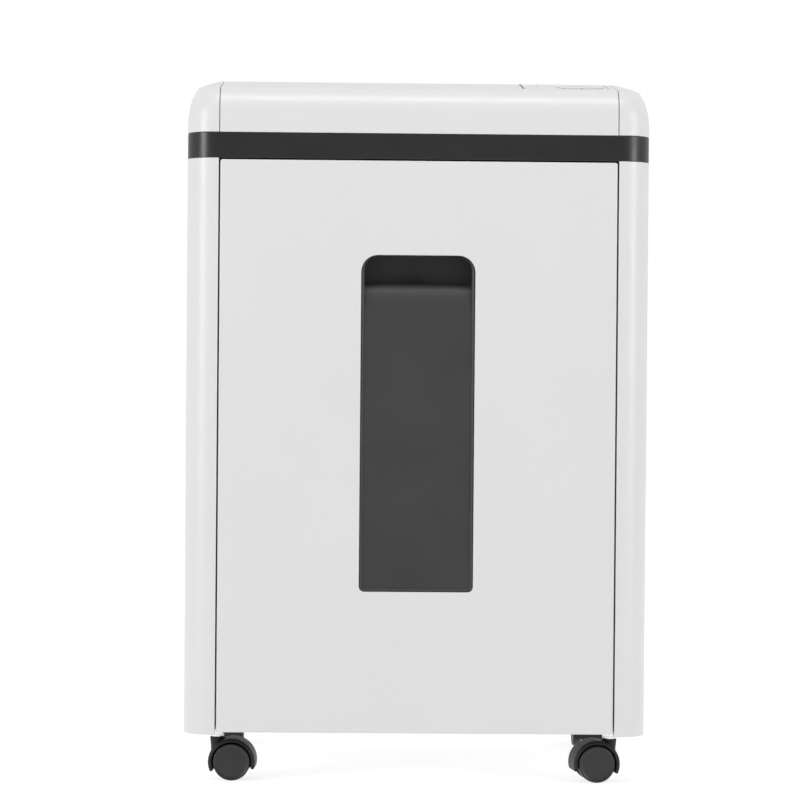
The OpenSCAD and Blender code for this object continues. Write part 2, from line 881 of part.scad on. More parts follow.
// Window outline in (X, Z) about its own bottom middle, moved inward by inset
module window_outline(inset, top) {
    w = window_w - 2 * inset;
    r = [window_r[0] - inset, window_r[1] - inset];
    translate([0, inset]) {
        translate([-w / 2, r[1]]) square([w, top - 2 * inset - r[0] - r[1]]);
        translate([-w / 2 + r[1], 0]) square([w - 2 * r[1], 2 * r[1]]);
        translate([-w / 2 + r[0], top - 2 * inset - 2 * r[0]]) square([w - 2 * r[0], 2 * r[0]]);
        for (s = [-1, 1]) {
            translate([s * (w / 2 - r[1]), r[1]]) circle(r[1]);
            translate([s * (w / 2 - r[0]), top - 2 * inset - r[0]]) circle(r[0]);
        }
    }
}

// An outline drawn in (X, Z), extruded along Y between two positions
module along_y(y0, y1) {
    translate([0, y1, 0]) rotate([90, 0, 0]) linear_extrude(y1 - y0) children();
}

module door_panel() {
    h = door_z[1] - door_z[0];
    sleeve = 2;
    screws = [for (sx = [-1, 1], z = [door_screw_at[1], door_screw_at[2]]) [sx * door_screw_at[0], z]];
    color("gainsboro") difference() {
        union() {
            difference() {
                translate([0, 0, door_z[0] + h / 2]) along_y(-half_d, door_back) rounded_rect(door_w, h, 2);
                translate([0, 0, door_z[0] + h / 2])
                    along_y(-half_d + door_wall, door_back + 1)
                        rounded_rect(door_w - 2 * door_wall, h - 2 * door_wall, 1);
            }
            translate([0, 0, window_z]) along_y(-half_d + eps, door_back) window_outline(-sleeve, window_h);
            for (p = screws) rod_y(-half_d + door_wall - eps, bin_front, p[0], p[1], 5);
            block([switch_x - 3, -half_d + door_wall - eps, switch_z - 4],
                [switch_x + 3, switch_y - 6.4, switch_z + 4]);
        }
        translate([0, 0, window_z]) along_y(-half_d - 1, door_back + 1) window_outline(0, window_h);
        for (p = screws) rod_y(bin_front - 8, bin_front + 1, p[0], p[1], 1.8);
    }
}

// The smoked window is a shallow frame with a recessed sheet, rolled back below the finger opening
module window_panel() {
    fit = 0.2;
    sheet_t = 2.5;
    lip_at = [window_face + lip[0], lip_z - lip[1]];
    color([0.18, 0.18, 0.19]) {
        translate([0, 0, window_z]) along_y(-half_d + 0.6, door_back) difference() {
            window_outline(fit, window_h);
            window_outline(frame_t, window_h + frame_t - frame_top);
        }
        intersection() {
            along_x(-window_w / 2 + fit + 1, window_w / 2 - fit - 1) polygon(concat(
                [[window_face, window_z + 1]],
                arc(lip_at, lip[0], lip[1], 180, 100),
                arc(lip_at, lip[0] - sheet_t, lip[1] - sheet_t, 100, 180),
                [[window_face + sheet_t, window_z + 1]]
            ));
            translate([0, 0, window_z]) along_y(-half_d, 0) window_outline(1.5, window_h);
        }
    }
}

module handle_cup() {
    low = [-window_w / 2 - 4, door_back, lip_z - cup_drop];
    high = [window_w / 2 + 4, -half_d + cup_depth, window_top + 4];
    color([0.12, 0.12, 0.12]) difference() {
        block(low, high);
        block([low[0] + grip_wall, low[1] - 1, low[2] + grip_wall],
            [high[0] - grip_wall, high[1] - grip_wall, high[2] - grip_wall]);
    }
}

module bin() {
    notch = [window_w / 2 + 8, lip_z - cup_drop - 6];
    mid_y = bin_front + bin_size[1] / 2;
    color("darkgray") difference() {
        union() {
            translate([0, mid_y, bin_z]) linear_extrude(bin_size[2]) rounded_rect(bin_size[0], bin_size[1], 10);
            translate([0, mid_y, bin_z + bin_size[2] - 2]) linear_extrude(2)
                intersection() {
                    rounded_rect(bin_size[0] + 6, bin_size[1] + 6, 13);
                    translate([-bin_size[0], -bin_size[1] / 2]) square([2 * bin_size[0], bin_size[1]]);
                }
        }
        translate([0, mid_y, bin_z + bin_t]) linear_extrude(bin_size[2])
            rounded_rect(bin_size[0] - 2 * bin_t, bin_size[1] - 2 * bin_t, 8);
        block([-notch[0], bin_front - 1, notch[1]],
            [notch[0], -half_d + cup_depth + 3, bin_z + bin_size[2] + 1]);
        for (sx = [-1, 1], z = [door_screw_at[1], door_screw_at[2]])
            rod_y(bin_front - 1, bin_front + bin_t + 1, sx * door_screw_at[0], z, 1.8);
    }
}

module door_screws() {
    color("silver") for (sx = [-1, 1], z = [door_screw_at[1], door_screw_at[2]]) {
        rod_y(bin_front - 8, bin_front + bin_t + eps, sx * door_screw_at[0], z, 1.8);
        rod_y(bin_front + bin_t, bin_front + bin_t + 2.2, sx * door_screw_at[0], z, 4);
    }
}

// ---------- castors ----------

// Puts a castor drawn about its stem axis, trailing along +X, at its corner
module castor_at(sx, sy, turn) {
    translate([sx * stem_x, sy * stem_y, 0]) rotate([0, 0, turn]) children();
}

module castor_stems() {
    pin_z = 24;
    color("silver") for (sx = [-1, 1], sy = [-1, 1]) translate([sx * stem_x, sy * stem_y, 0]) {
        translate([0, 0, pin_z]) cylinder(h = collar_z[0] - pin_z + eps, r = pin_r);
        translate([0, 0, collar_z[0]]) cylinder(h = collar_z[1] - collar_z[0], r = collar_r);
        translate([0, 0, collar_z[1] - eps]) cylinder(h = pan_z + 17 - collar_z[1], r = stem_r);
    }
}

module castor_hood() {
    ends = [-18, 205];
    web_t = 4;
    far = 2 * hood_r;
    color("dimgray") {
        difference() {
            union() {
                translate([trail, 0, axle_z]) rotate([90, 0, 0]) {
                    translate([0, 0, -castor_w / 2]) linear_extrude(castor_w) difference() {
                        circle(hood_r);
                        circle(hood_in);
                        polygon([[0, 0], [far * cos(ends[0]), far * sin(ends[0])], [far, -far], [-far, -far],
                            [far * cos(ends[1]), far * sin(ends[1])]]);
                    }
                    translate([0, 0, -web_t / 2]) linear_extrude(web_t) difference() {
                        circle(hood_in + 1);
                        translate([-far, -2 * far - 6]) square([2 * far, 2 * far]);
                    }
                    cylinder(h = 2 * wheel_in - 0.6, r = 4.5, center = true);
                }
                translate([0, 0, housing_z[0]]) cylinder(h = housing_z[1] - housing_z[0] + eps, r = 5.5);
                translate([0, 0, housing_z[1]]) cylinder(h = housing_z[2] - housing_z[1], r1 = 5.5, r2 = 6.3);
            }
            translate([0, 0, 23.5]) cylinder(h = 20, r = pin_r + running);
            translate([trail, 0, axle_z]) rotate([90, 0, 0]) cylinder(h = castor_w, r = axle_r, center = true);
        }
        translate([trail, 0, axle_z]) rotate([90, 0, 0])
            cylinder(h = 2 * (wheel_in + 5.2), r = axle_r, center = true);
    }
}

// One wheel on the +Y (side 1) or -Y (side -1) end of the axle
module wheel(side) {
    w = castor_w / 2 - wheel_in;
    color("dimgray") translate([trail, side * wheel_in, axle_z]) rotate([side > 0 ? -90 : 90, 0, 0])
        rotate_extrude() polygon([[axle_r + running, 0], [wheel_r - 1, 0], [wheel_r, 1], [wheel_r, w - 1.2],
            [wheel_r - 1.2, w], [wheel_r - 1.8, w], [wheel_r - 2.4, w - 0.5], [0, w - 0.5], [0, 5.5],
            [axle_r + running, 5.5]]);
}

// ---------- nodes ----------

base_pan();
side_panel_left();
side_panel_right();
back_panel();
back_screws();
bin_runners();
interlock_switch();
interlock_plunger();
trim_band();
head_tray();
top_cover();
end_cap_left();
end_cap_right();
feed_throat();
sensor_lever();
trim_strip();
control_panel();
button_power();
button_reverse();
button_forward();
indicator_lenses();
control_board();
cutter_plate_left();
cutter_plate_right();
tie_rods();
stripper_combs();
shaft_bushes();
roller_front();
roller_rear();
timing_gear_front();
timing_gear_rear();
final_gear();
compound_gear();
gear_plate();
motor_can();
motor_rotor();
motor_pinion();
cooling_fan();
power_board();
wire_harness();
power_entry();
rocker_paddle();
door_panel();
window_panel();
handle_cup();
bin();
door_screws();
castor_stems();
castor_at(-1, -1, trail_fl) castor_hood();  // castor_hood_fl
castor_at(1, -1, trail_fr) castor_hood();  // castor_hood_fr
castor_at(-1, 1, trail_rear) castor_hood();  // castor_hood_rl
castor_at(1, 1, trail_rear) castor_hood();  // castor_hood_rr
castor_at(-1, -1, trail_fl) wheel(-1);  // wheel_fl_front
castor_at(-1, -1, trail_fl) wheel(1);  // wheel_fl_rear
castor_at(1, -1, trail_fr) wheel(1);  // wheel_fr_front
castor_at(1, -1, trail_fr) wheel(-1);  // wheel_fr_rear
castor_at(-1, 1, trail_rear) wheel(1);  // wheel_rl_left
castor_at(-1, 1, trail_rear) wheel(-1);  // wheel_rl_right
castor_at(1, 1, trail_rear) wheel(1);  // wheel_rr_left
castor_at(1, 1, trail_rear) wheel(-1);  // wheel_rr_right
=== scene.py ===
import json
import math

import bmesh
import bpy
from mathutils import Matrix, Vector


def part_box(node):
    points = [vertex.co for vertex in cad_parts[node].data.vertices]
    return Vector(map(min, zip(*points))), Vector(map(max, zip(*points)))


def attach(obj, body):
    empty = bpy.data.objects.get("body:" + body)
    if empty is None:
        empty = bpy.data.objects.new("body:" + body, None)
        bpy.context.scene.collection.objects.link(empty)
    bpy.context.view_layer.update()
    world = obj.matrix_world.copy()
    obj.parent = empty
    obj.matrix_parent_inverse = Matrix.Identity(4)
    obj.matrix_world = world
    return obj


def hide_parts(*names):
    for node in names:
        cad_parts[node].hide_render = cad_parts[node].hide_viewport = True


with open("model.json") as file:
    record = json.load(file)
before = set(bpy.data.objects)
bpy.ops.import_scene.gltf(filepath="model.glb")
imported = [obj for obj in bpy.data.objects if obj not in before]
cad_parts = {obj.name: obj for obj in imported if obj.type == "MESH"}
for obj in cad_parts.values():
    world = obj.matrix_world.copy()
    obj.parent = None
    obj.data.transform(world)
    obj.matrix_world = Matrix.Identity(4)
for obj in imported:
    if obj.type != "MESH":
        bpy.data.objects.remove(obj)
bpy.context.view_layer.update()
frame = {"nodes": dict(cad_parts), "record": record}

# A free-standing paper shredder in a plain studio. Lengths are in metres. The outer sizes come from the
# frame's boxes. The radii, walls and small details that boxes don't give are named values.

MM = 0.001
nodes = frame["nodes"]

# ---------------------------------------------------------------- sizes

shell_lo, shell_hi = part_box("side_panel_right")
band_lo, band_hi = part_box("trim_band")
cover_lo, cover_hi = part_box("top_cover")
cap_lo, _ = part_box("end_cap_right")
door_lo, door_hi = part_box("door_panel")
window_lo, window_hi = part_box("window_panel")
cup_lo, cup_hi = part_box("handle_cup")
bin_lo, bin_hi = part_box("bin")

# Half the width and depth, then the heights of the cabinet's foot, the band's two edges and the lid's top
half_w = shell_hi.x
half_d = shell_hi.y
foot_z = shell_lo.z
band_z = band_lo.z
lid_z = band_hi.z
top_z = cover_hi.z
# The lid's seam, and the posts' inner edge, which is as far from the seam as the door's edge is
seam_x = (cover_hi.x + cap_lo.x) / 2
post_x = 2 * seam_x - door_hi.x

# Cabinet: radius of the upright corners, wall of the mouldings, depth of the jambs
CORNER_R = 24 * MM
WALL = 2.5 * MM
JAMB = 16 * MM
# Lid: front and rear edge radii, front slope and how far back it ends, the end caps' shoulder and wall
NOSE_R = 22 * MM
REAR_R = 16 * MM
SLOPE = math.radians(9)
SLOPE_END = 90 * MM
SHOULDER = (24 * MM, 44 * MM)
CAP_WALL = 2.2 * MM
# Door: its depth, then the window's corners, clearance, frame, rolled lip (depth, height) and finger opening
DOOR_DEPTH = 12 * MM
WINDOW_TOP_R = 13.7 * MM
WINDOW_BOTTOM_R = 4.5 * MM
WINDOW_FIT = 0.2 * MM
FRAME_W = 2.7 * MM
FRAME_TOP = 0.8 * MM
LIP = (14 * MM, 24 * MM)
GRIP_H = 22.4 * MM
# Controls: the round island's middle on the panel, the buttons' radii, the gap in the ring, the caps' heights
ISLAND = (8.6 * MM, -9.1 * MM)
POWER_R = 8 * MM
RING_R = (8.8 * MM, 19 * MM)
RING_GAP = 0.5 * MM
CAP_Z = (-3.5 * MM, 0.5 * MM)
# Castors: wheel, trail from the stem to the axle, hood radii, widths, axle, and the stems' places
WHEEL_R = 15 * MM
TRAIL = 12.3 * MM
HOOD_OUT = 19.2 * MM
HOOD_IN = 16.3 * MM
CASTOR_W = 26 * MM
WHEEL_IN = 6.2 * MM
AXLE_R = 2.5 * MM
STEM_X, STEM_Y = 160 * MM, 105 * MM

# ---------------------------------------------------------------- mesh helpers


def mesh_object(name, verts, faces):
    """A new object in the scene, with its doubled points merged and its faces turned outwards."""
    mesh = bpy.data.meshes.new(name)
    mesh.from_pydata([tuple(v) for v in verts], [], faces)
    bm = bmesh.new()
    bm.from_mesh(mesh)
    bmesh.ops.remove_doubles(bm, verts=bm.verts, dist=1e-7)
    bmesh.ops.recalc_face_normals(bm, faces=bm.faces)
    bm.to_mesh(mesh)
    bm.free()
    mesh.shade_smooth()
    obj = bpy.data.objects.new(name, mesh)
    bpy.context.scene.collection.objects.link(obj)
    return obj


def arc(cx, cy, rx, ry, a0, a1, steps):
    """Points on an elliptical arc, angles in degrees, both ends included."""
    turns = [math.radians(a0 + (a1 - a0) * i / steps) for i in range(steps + 1)]
    return [(cx + rx * math.cos(a), cy + ry * math.sin(a)) for a in turns]


def rounded(x0, x1, y0, y1, r_low, r_high=None, steps=8):
    """A rectangle's outline with rounded corners, anticlockwise from its lower right corner."""
    r_high = r_low if r_high is None else r_high
    return (
        arc(x1 - r_low, y0 + r_low, r_low, r_low, -90, 0, steps)
        + arc(x1 - r_high, y1 - r_high, r_high, r_high, 0, 90, steps)
        + arc(x0 + r_high, y1 - r_high, r_high, r_high, 90, 180, steps)
        + arc(x0 + r_low, y0 + r_low, r_low, r_low, 180, 270, steps)
    )


def place(axis, u, v, w):
    """A point of an outline (u, v) at height w along the named axis."""
    return {"X": (w, u, v), "Y": (u, w, v), "Z": (u, v, w)}[axis]


def prism(name, outline, axis, low, high):
    """A solid with the outline as its cross-section, from low to high along the named axis."""
    n = len(outline)
    verts = [place(axis, u, v, low) for u, v in outline] + [place(axis, u, v, high) for u, v in outline]
    faces = [[(i + 1) % n, i, n + i, n + (i + 1) % n] for i in range(n)]
    return mesh_object(name, verts, faces + [list(range(n)), list(range(2 * n - 1, n - 1, -1))])


def loft(name, rings, around=True, closed=False, caps=False):
    """Skins a list of point rings. around closes each ring, closed joins the last ring to the first."""
    n = len(rings[0])
    verts = [p for ring in rings for p in ring]
    faces = []
    for k in range(len(rings) if closed else len(rings) - 1):
        a, b = k * n, (k + 1) % len(rings) * n
        for i in range(n if around else n - 1):
            j = (i + 1) % n
            faces.append([a + i, a + j, b + j, b + i])
    if caps:
        last = (len(rings) - 1) * n
        faces += [list(range(n - 1, -1, -1)), list(range(last, last + n))]
    return mesh_object(name, verts, faces)


def lathe(name, profile, steps, around=False):
    """Turns a profile of (radius, height) points about Z. Its ends lie on the axis, or around joins them."""
    rings = []
    for i in range(steps):
        c, s = math.cos(2 * math.pi * i / steps), math.sin(2 * math.pi * i / steps)
        rings.append([(r * c, r * s, z) for r, z in profile])
    return loft(name, rings, around=around, closed=True)


def drum(name, radius, low, high, steps):
    """A plain turned cylinder about Z."""
    return lathe(name, [(0, low), (radius, low), (radius, high), (0, high)], steps)


def soften(obj, width, segments=2, angle=32):
    """Rounds every sharp edge by width and keeps flat faces looking flat."""
    if width:
        bevel = obj.modifiers.new("edges", "BEVEL")
        bevel.width = width
        bevel.segments = segments
        bevel.limit_method = "ANGLE"
        bevel.angle_limit = math.radians(angle)
        bevel.use_clamp_overlap = True
        bevel.loop_slide = False
    weighted = obj.modifiers.new("normals", "WEIGHTED_NORMAL")
    weighted.keep_sharp = False
    weighted.weight = 80
    return obj


def boolean(obj, cutters, operation):
    """Applies a boolean with each cutter in turn, removes the cutters and cleans up slivers."""
    for cutter in cutters:
        mod = obj.modifiers.new("cut", "BOOLEAN")
        mod.object = cutter
        mod.operation = operation
        mod.solver = "EXACT"
        bake(obj)
        bpy.data.objects.remove(cutter)
    bm = bmesh.new()
    bm.from_mesh(obj.data)
    bmesh.ops.remove_doubles(bm, verts=bm.verts, dist=0.02 * MM)
    bmesh.ops.dissolve_degenerate(bm, edges=bm.edges, dist=0.01 * MM)
    bm.to_mesh(obj.data)
    bm.free()
    return obj


def bake(obj):
    """Turns the modifiers made so far into plain mesh."""
    graph = bpy.context.evaluated_depsgraph_get()
    mesh = bpy.data.meshes.new_from_object(obj.evaluated_get(graph))
    obj.modifiers.clear()
    obj.data = mesh
    obj.data.shade_smooth()


def moved(obj, matrix):
    """Moves a piece's mesh, so that its object stays at the origin."""
    obj.data.transform(matrix)
    return obj


def copied(obj, name):
    """A copy of a piece with its own mesh."""
    copy = obj.copy()
    copy.data = obj.data.copy()
    copy.name = name
    bpy.context.scene.collection.objects.link(copy)
    return copy


def mirrored(obj, name):
    """A copy of a piece on the other side of the X = 0 plane."""
    copy = moved(copied(obj, name), Matrix.Diagonal((-1, 1, 1, 1)))
    copy.data.flip_normals()
    return copy


def dress(obj, body, slot, *replaced):
    """Gives a piece the material of its slot and its body, and hides the CAD nodes that it stands for."""
    obj.data.materials.clear()
    obj.data.materials.append(materials[slot])
    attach(obj, body)
    if replaced:
        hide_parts(*replaced)
    return obj


# ---------------------------------------------------------------- materials


class Nodes:
    """Small wrapper that builds a material's node tree."""

    def __init__(self, name):
        self.mat = bpy.data.materials.new(name)
        self.mat.use_nodes = True
        self.tree = self.mat.node_tree
        self.tree.nodes.clear()
        self.out = self.tree.nodes.new("ShaderNodeOutputMaterial")
        self.shader = self.tree.nodes.new("ShaderNodeBsdfPrincipled")
        self.link(self.shader.outputs[0], self.out.inputs[0])
        self.coords = self.tree.nodes.new("ShaderNodeTexCoord").outputs["Object"]

    def link(self, a, b):
        """Joins output a to input b."""
        self.tree.links.new(a, b)

    def scaled(self, scale):
        """Object coordinates stretched by a scale for each axis."""
        mapping = self.tree.nodes.new("ShaderNodeMapping")
        mapping.inputs["Scale"].default_value = scale
        self.link(self.coords, mapping.inputs["Vector"])
        return mapping.outputs[0]

    def noise(self, scale, detail=3.0, rough=0.5, vector=None):
        """Cloudy noise with scale features to the metre."""
        node = self.tree.nodes.new("ShaderNodeTexNoise")
        node.inputs["Scale"].default_value = scale
        node.inputs["Detail"].default_value = detail
        node.inputs["Roughness"].default_value = rough
        self.link(vector or self.coords, node.inputs["Vector"])
        return node.outputs["Fac"]

    def cells(self, scale):
        """Distance to the middle of irregular cells."""
        node = self.tree.nodes.new("ShaderNodeTexVoronoi")
        node.inputs["Scale"].default_value = scale
        self.link(self.coords, node.inputs["Vector"])
        return node.outputs["Distance"]

    def spread(self, value, low, high):
        """The middle half of a noise's range, stretched from low to high."""
        node = self.tree.nodes.new("ShaderNodeMapRange")
        node.inputs["From Min"].default_value = 0.25
        node.inputs["From Max"].default_value = 0.75
        node.inputs["To Min"].default_value = low
        node.inputs["To Max"].default_value = high
        self.link(value, node.inputs["Value"])
        return node.outputs["Result"]

    def shades(self, value, stops):
        """A colour ramp over value, with stops of (place, colour)."""
        node = self.tree.nodes.new("ShaderNodeValToRGB")
        ramp = node.color_ramp
        while len(ramp.elements) < len(stops):
            ramp.elements.new(0.5)
        for element, (at, colour) in zip(ramp.elements, stops):
            element.position = at
            element.color = (*colour, 1)
        self.link(value, node.inputs["Fac"])
        return node.outputs["Color"]

    def bump(self, height, distance, strength, after=None):
        """A bumped normal, on top of the normal after if one is given."""
        node = self.tree.nodes.new("ShaderNodeBump")
        node.inputs["Strength"].default_value = strength
        node.inputs["Distance"].default_value = distance
        self.link(height, node.inputs["Height"])
        if after is not None:
            self.link(after, node.inputs["Normal"])
        return node.outputs["Normal"]

    def set(self, name, value):
        """Links or sets one input of the shader."""
        socket = self.shader.inputs[name]
        if isinstance(value, bpy.types.NodeSocket):
            self.link(value, socket)
        elif isinstance(value, tuple):
            socket.default_value = (*value, 1)
        else:
            socket.default_value = value


def tint(colour, factor):
    """A lighter or darker colour of the same hue."""
    return tuple(min(1.0, c * factor) for c in colour)


def plastic(name, colour, rough, vary, grain, grain_scale=1800.0, coat=0.0, gloss=0.5):
    """Moulded plastic: spark-eroded grain (depth in mm), faint flow shading and uneven gloss."""
    m = Nodes(name)
    cloud = m.noise(9.0, 4.0)
    m.set("Base Color", m.shades(cloud, [(0.3, tint(colour, 1 - vary)), (0.7, tint(colour, 1 + vary))]))
    m.set("Roughness", m.spread(m.noise(45.0, 5.0), rough - 0.05, rough + 0.05))
    fine = m.noise(grain_scale, 2.0)
    coarse = m.bump(m.noise(grain_scale / 6, 3.0), grain * MM, 0.35)
    m.set("Normal", m.bump(fine, grain * MM, 0.6, coarse))
    m.set("IOR", 1.46)
    m.set("Specular IOR Level", gloss)
    if coat:
        m.set("Coat Weight", coat)
        m.set("Coat Roughness", 0.18)
    return m.mat


def smoked(name):
    """Dark smoked sheet with the faint upright streaks of its extrusion."""
    m = Nodes(name)
    streaks = m.noise(1.0, 6.0, 0.65, m.scaled((900.0, 900.0, 14.0)))
    cloud = m.noise(14.0, 3.0)
    m.set("Base Color", m.shades(cloud, [(0.3, (0.034, 0.034, 0.035)), (0.7, (0.042, 0.042, 0.043))]))
    m.set("Roughness", m.spread(streaks, 0.42, 0.56))
    m.set("Normal", m.bump(streaks, 0.02 * MM, 0.35))
    m.set("Specular IOR Level", 0.24)
    return m.mat


def metal(name, colour, rough, stretch, vary):
    """Machined or rolled metal: streaks along one direction, uneven polish."""
    m = Nodes(name)
    streaks = m.noise(1.0, 6.0, 0.6, m.scaled(stretch))
    cloud = m.noise(60.0, 4.0)
    m.set("Base Color", m.shades(streaks, [(0.25, tint(colour, 1 - vary)), (0.75, tint(colour, 1 + vary))]))
    m.set("Metallic", 1.0)
    m.set("Roughness", m.spread(cloud, rough - 0.06, rough + 0.08))
    m.set("Normal", m.bump(streaks, 0.01 * MM, 0.5))
    return m.mat


def zinc(name):
    """Zinc-plated sheet: soft grey spangle cells."""
    m = Nodes(name)
    flakes = m.cells(170.0)
    m.set("Base Color", m.shades(flakes, [(0.1, (0.46, 0.47, 0.49)), (0.6, (0.60, 0.61, 0.63))]))
    m.set("Metallic", 1.0)
    m.set("Roughness", m.spread(m.noise(120.0, 4.0), 0.30, 0.46))
    m.set("Normal", m.bump(m.noise(700.0, 3.0), 0.02 * MM, 0.4))
    return m.mat


def circuit(name):
    """Green board: a grid of lighter tracks under the lacquer."""
    m = Nodes(name)
    brick = m.tree.nodes.new("ShaderNodeTexBrick")
    brick.inputs["Scale"].default_value = 260.0
    brick.inputs["Mortar Size"].default_value = 0.12
    brick.inputs["Color1"].default_value = (0.012, 0.085, 0.035, 1)
    brick.inputs["Color2"].default_value = (0.016, 0.105, 0.042, 1)
    brick.inputs["Mortar"].default_value = (0.03, 0.17, 0.07, 1)
    m.link(m.coords, brick.inputs["Vector"])
    m.set("Base Color", brick.outputs["Color"])
    m.set("Roughness", m.spread(m.noise(300.0), 0.25, 0.4))
    m.set("Normal", m.bump(brick.outputs["Fac"], 0.03 * MM, 0.4))
    return m.mat


CASING = (0.588, 0.588, 0.593)
materials = {
    "casing": plastic("casing_plastic", CASING, 0.38, vary=0.008, grain=0.02),
    "band": plastic("band_plastic", (0.013, 0.013, 0.014), 0.35, vary=0.06, grain=0.01,
                    grain_scale=1400.0),
    "black_plastic": plastic("black_plastic", (0.030, 0.030, 0.031), 0.48, vary=0.08, grain=0.03),
    "window_smoke": smoked("smoked_sheet"),
    "bin_plastic": plastic("bin_plastic", (0.085, 0.087, 0.092), 0.42, vary=0.05, grain=0.03,
                           grain_scale=1200.0),
    "button_white": plastic("button_plastic", tint(CASING, 1.01), 0.42, vary=0.01, grain=0.012),
    "red_plastic": plastic("red_plastic", (0.36, 0.012, 0.012), 0.30, vary=0.05, grain=0.01, coat=0.2),
    "castor_plastic": plastic("castor_plastic", (0.012, 0.012, 0.013), 0.46, vary=0.08,
                              grain=0.025, gloss=0.28),
    "wheel_plastic": plastic("wheel_plastic", (0.021, 0.021, 0.022), 0.40, vary=0.08, grain=0.015,
                             gloss=0.42),
    "gear_nylon": plastic("nylon", (0.66, 0.62, 0.50), 0.38, vary=0.03, grain=0.01),
    "wire_sleeve": plastic("wire_sleeve", (0.05, 0.05, 0.055), 0.55, vary=0.10, grain=0.03),
    "lens": plastic("lens_plastic", (0.72, 0.78, 0.76), 0.16, vary=0.02, grain=0.004, coat=0.4),
    "plated_stem": metal("bright_plating", (0.74, 0.74, 0.76), 0.16, (30.0, 30.0, 900.0), vary=0.04),
    "sheet_steel": zinc("zinc_sheet"),
    "cutter_steel": metal("ground_steel", (0.36, 0.35, 0.345), 0.34, (60.0, 900.0, 900.0), vary=0.16),
    "gear_steel": metal("hobbed_steel", (0.42, 0.42, 0.43), 0.30, (900.0, 120.0, 120.0), vary=0.12),
    "screw_steel": metal("screw_steel", (0.55, 0.55, 0.57), 0.26, (500.0, 500.0, 500.0), vary=0.08),
    "bearing_brass": metal("bush_bronze", (0.60, 0.42, 0.20), 0.34, (400.0, 400.0, 400.0), vary=0.10),
    "motor_steel": metal("motor_can_plating", (0.30, 0.31, 0.33), 0.40, (300.0, 40.0, 40.0), vary=0.08),
    "circuit_board": circuit("circuit_board"),
}
painted_back = plastic("painted_back_sheet", (0.60, 0.60, 0.61), 0.46, vary=0.02, grain=0.05,
                       grain_scale=900.0)

# ---------------------------------------------------------------- cabinet


def side_shell(name):
    """The right-hand shell: both rounded posts, the flat side and the door and back jambs."""
    r, t, steps = CORNER_R, WALL, 20
    cx, cy = half_w - r, half_d - r
    outline = (
        [(post_x, -half_d)]
        + arc(cx, -cy, r, r, -90, 0, steps)
        + arc(cx, cy, r, r, 0, 90, steps)
        + [(post_x, half_d), (post_x, half_d - JAMB)]
        + [(post_x + t, half_d - JAMB), (post_x + t, half_d - t)]
        + arc(cx, cy, r - t, r - t, 90, 0, steps)
        + arc(cx, -cy, r - t, r - t, 0, -90, steps)
        + [(post_x + t, -half_d + t), (post_x + t, -half_d + JAMB), (post_x, -half_d + JAMB)]
    )
    return prism(name, outline, "Z", foot_z, band_z)


def plan(inset, steps=20):
    """The cabinet's outline from above, inset all round."""
    x, y = half_w - inset, half_d - inset
    return rounded(-x, x, -y, y, CORNER_R - inset, steps=steps)


def level(outline, z):
    """An outline (x, y) as a ring of points at height z."""
    return [(x, y, z) for x, y in outline]


def edge_round(r, steps=4):
    """(how far in, how far along) for a quarter-round edge, from the flat end to the side."""
    turns = [math.pi / 2 * i / steps for i in range(steps + 1)]
    return [(r * (1 - math.sin(a)), r * (1 - math.cos(a))) for a in turns]


BAND_WALL = 3 * MM


def band_ring(name):
    """The trim band's upright wall, with rounded outer edges."""
    edge = edge_round(0.7 * MM)
    rings = [level(plan(inset), band_z + up) for inset, up in edge]
    rings += [level(plan(inset), lid_z - down) for inset, down in reversed(edge)]
    rings += [level(plan(BAND_WALL), z) for z in (lid_z, band_z)]
    return loft(name, rings, closed=True)


def deck_ring(name):
    """The trim band's flat deck, from its wall to the ledge that carries the head tray."""
    tray_lo, tray_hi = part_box("head_tray")
    ledge = 8 * MM
    low, high = band_z + 0.1 * MM, band_z + 3 * MM
    outer = plan(BAND_WALL, 8)
    inner = rounded(tray_lo.x + ledge, tray_hi.x - ledge, tray_lo.y + ledge, tray_hi.y - ledge, 0.5 * MM)
    rings = [level(outer, low), level(outer, high), level(inner, high), level(inner, low)]
    return loft(name, rings, closed=True)


right_shell = side_shell("side_shell_right")
left_shell = mirrored(right_shell, "side_shell_left")
for shell, node in ((right_shell, "side_panel_right"), (left_shell, "side_panel_left")):
    dress(soften(shell, 0.6 * MM, 3), "cabinet", "casing", node)
dress(soften(band_ring("trim_band_ring"), 0), "cabinet", "band", "trim_band")
dress(soften(deck_ring("trim_band_deck"), 0.2 * MM), "cabinet", "band")

# ---------------------------------------------------------------- lid


def lid_profile(inset):
    """Side outline of the lid as (y, z), from the front's lower edge over the top to the rear's."""
    drop = (SLOPE_END - NOSE_R * (1 - math.sin(SLOPE))) * math.tan(SLOPE)
    nose_z = top_z - drop - NOSE_R * math.cos(SLOPE)
    nose_y = -half_d + NOSE_R
    r = NOSE_R - inset
    top = top_z - inset
    slope_y = nose_y - r * math.sin(SLOPE)
    slope_top = nose_z + r * math.cos(SLOPE)
    flat_y = slope_y + (top - slope_top) / math.tan(SLOPE)
    bend, steps = 14 * MM, 6
    below = (flat_y - bend * math.cos(SLOPE), top - bend * math.sin(SLOPE))
    knee = [below, (flat_y, top), (flat_y + bend, top)]
    eased = []
    for i in range(steps + 1):
        s = i / steps
        eased.append(tuple((1 - s) ** 2 * a + 2 * s * (1 - s) * b + s * s * c for a, b, c in zip(*knee)))
    return (
        [(-half_d + inset, lid_z)]
        + arc(nose_y, nose_z, r, r, 180, 90 + math.degrees(SLOPE), 26)
        + eased
        + arc(half_d - REAR_R, top_z - REAR_R, REAR_R - inset, REAR_R - inset, 90, 0, 14)
        + [(half_d - inset, lid_z)]
    )


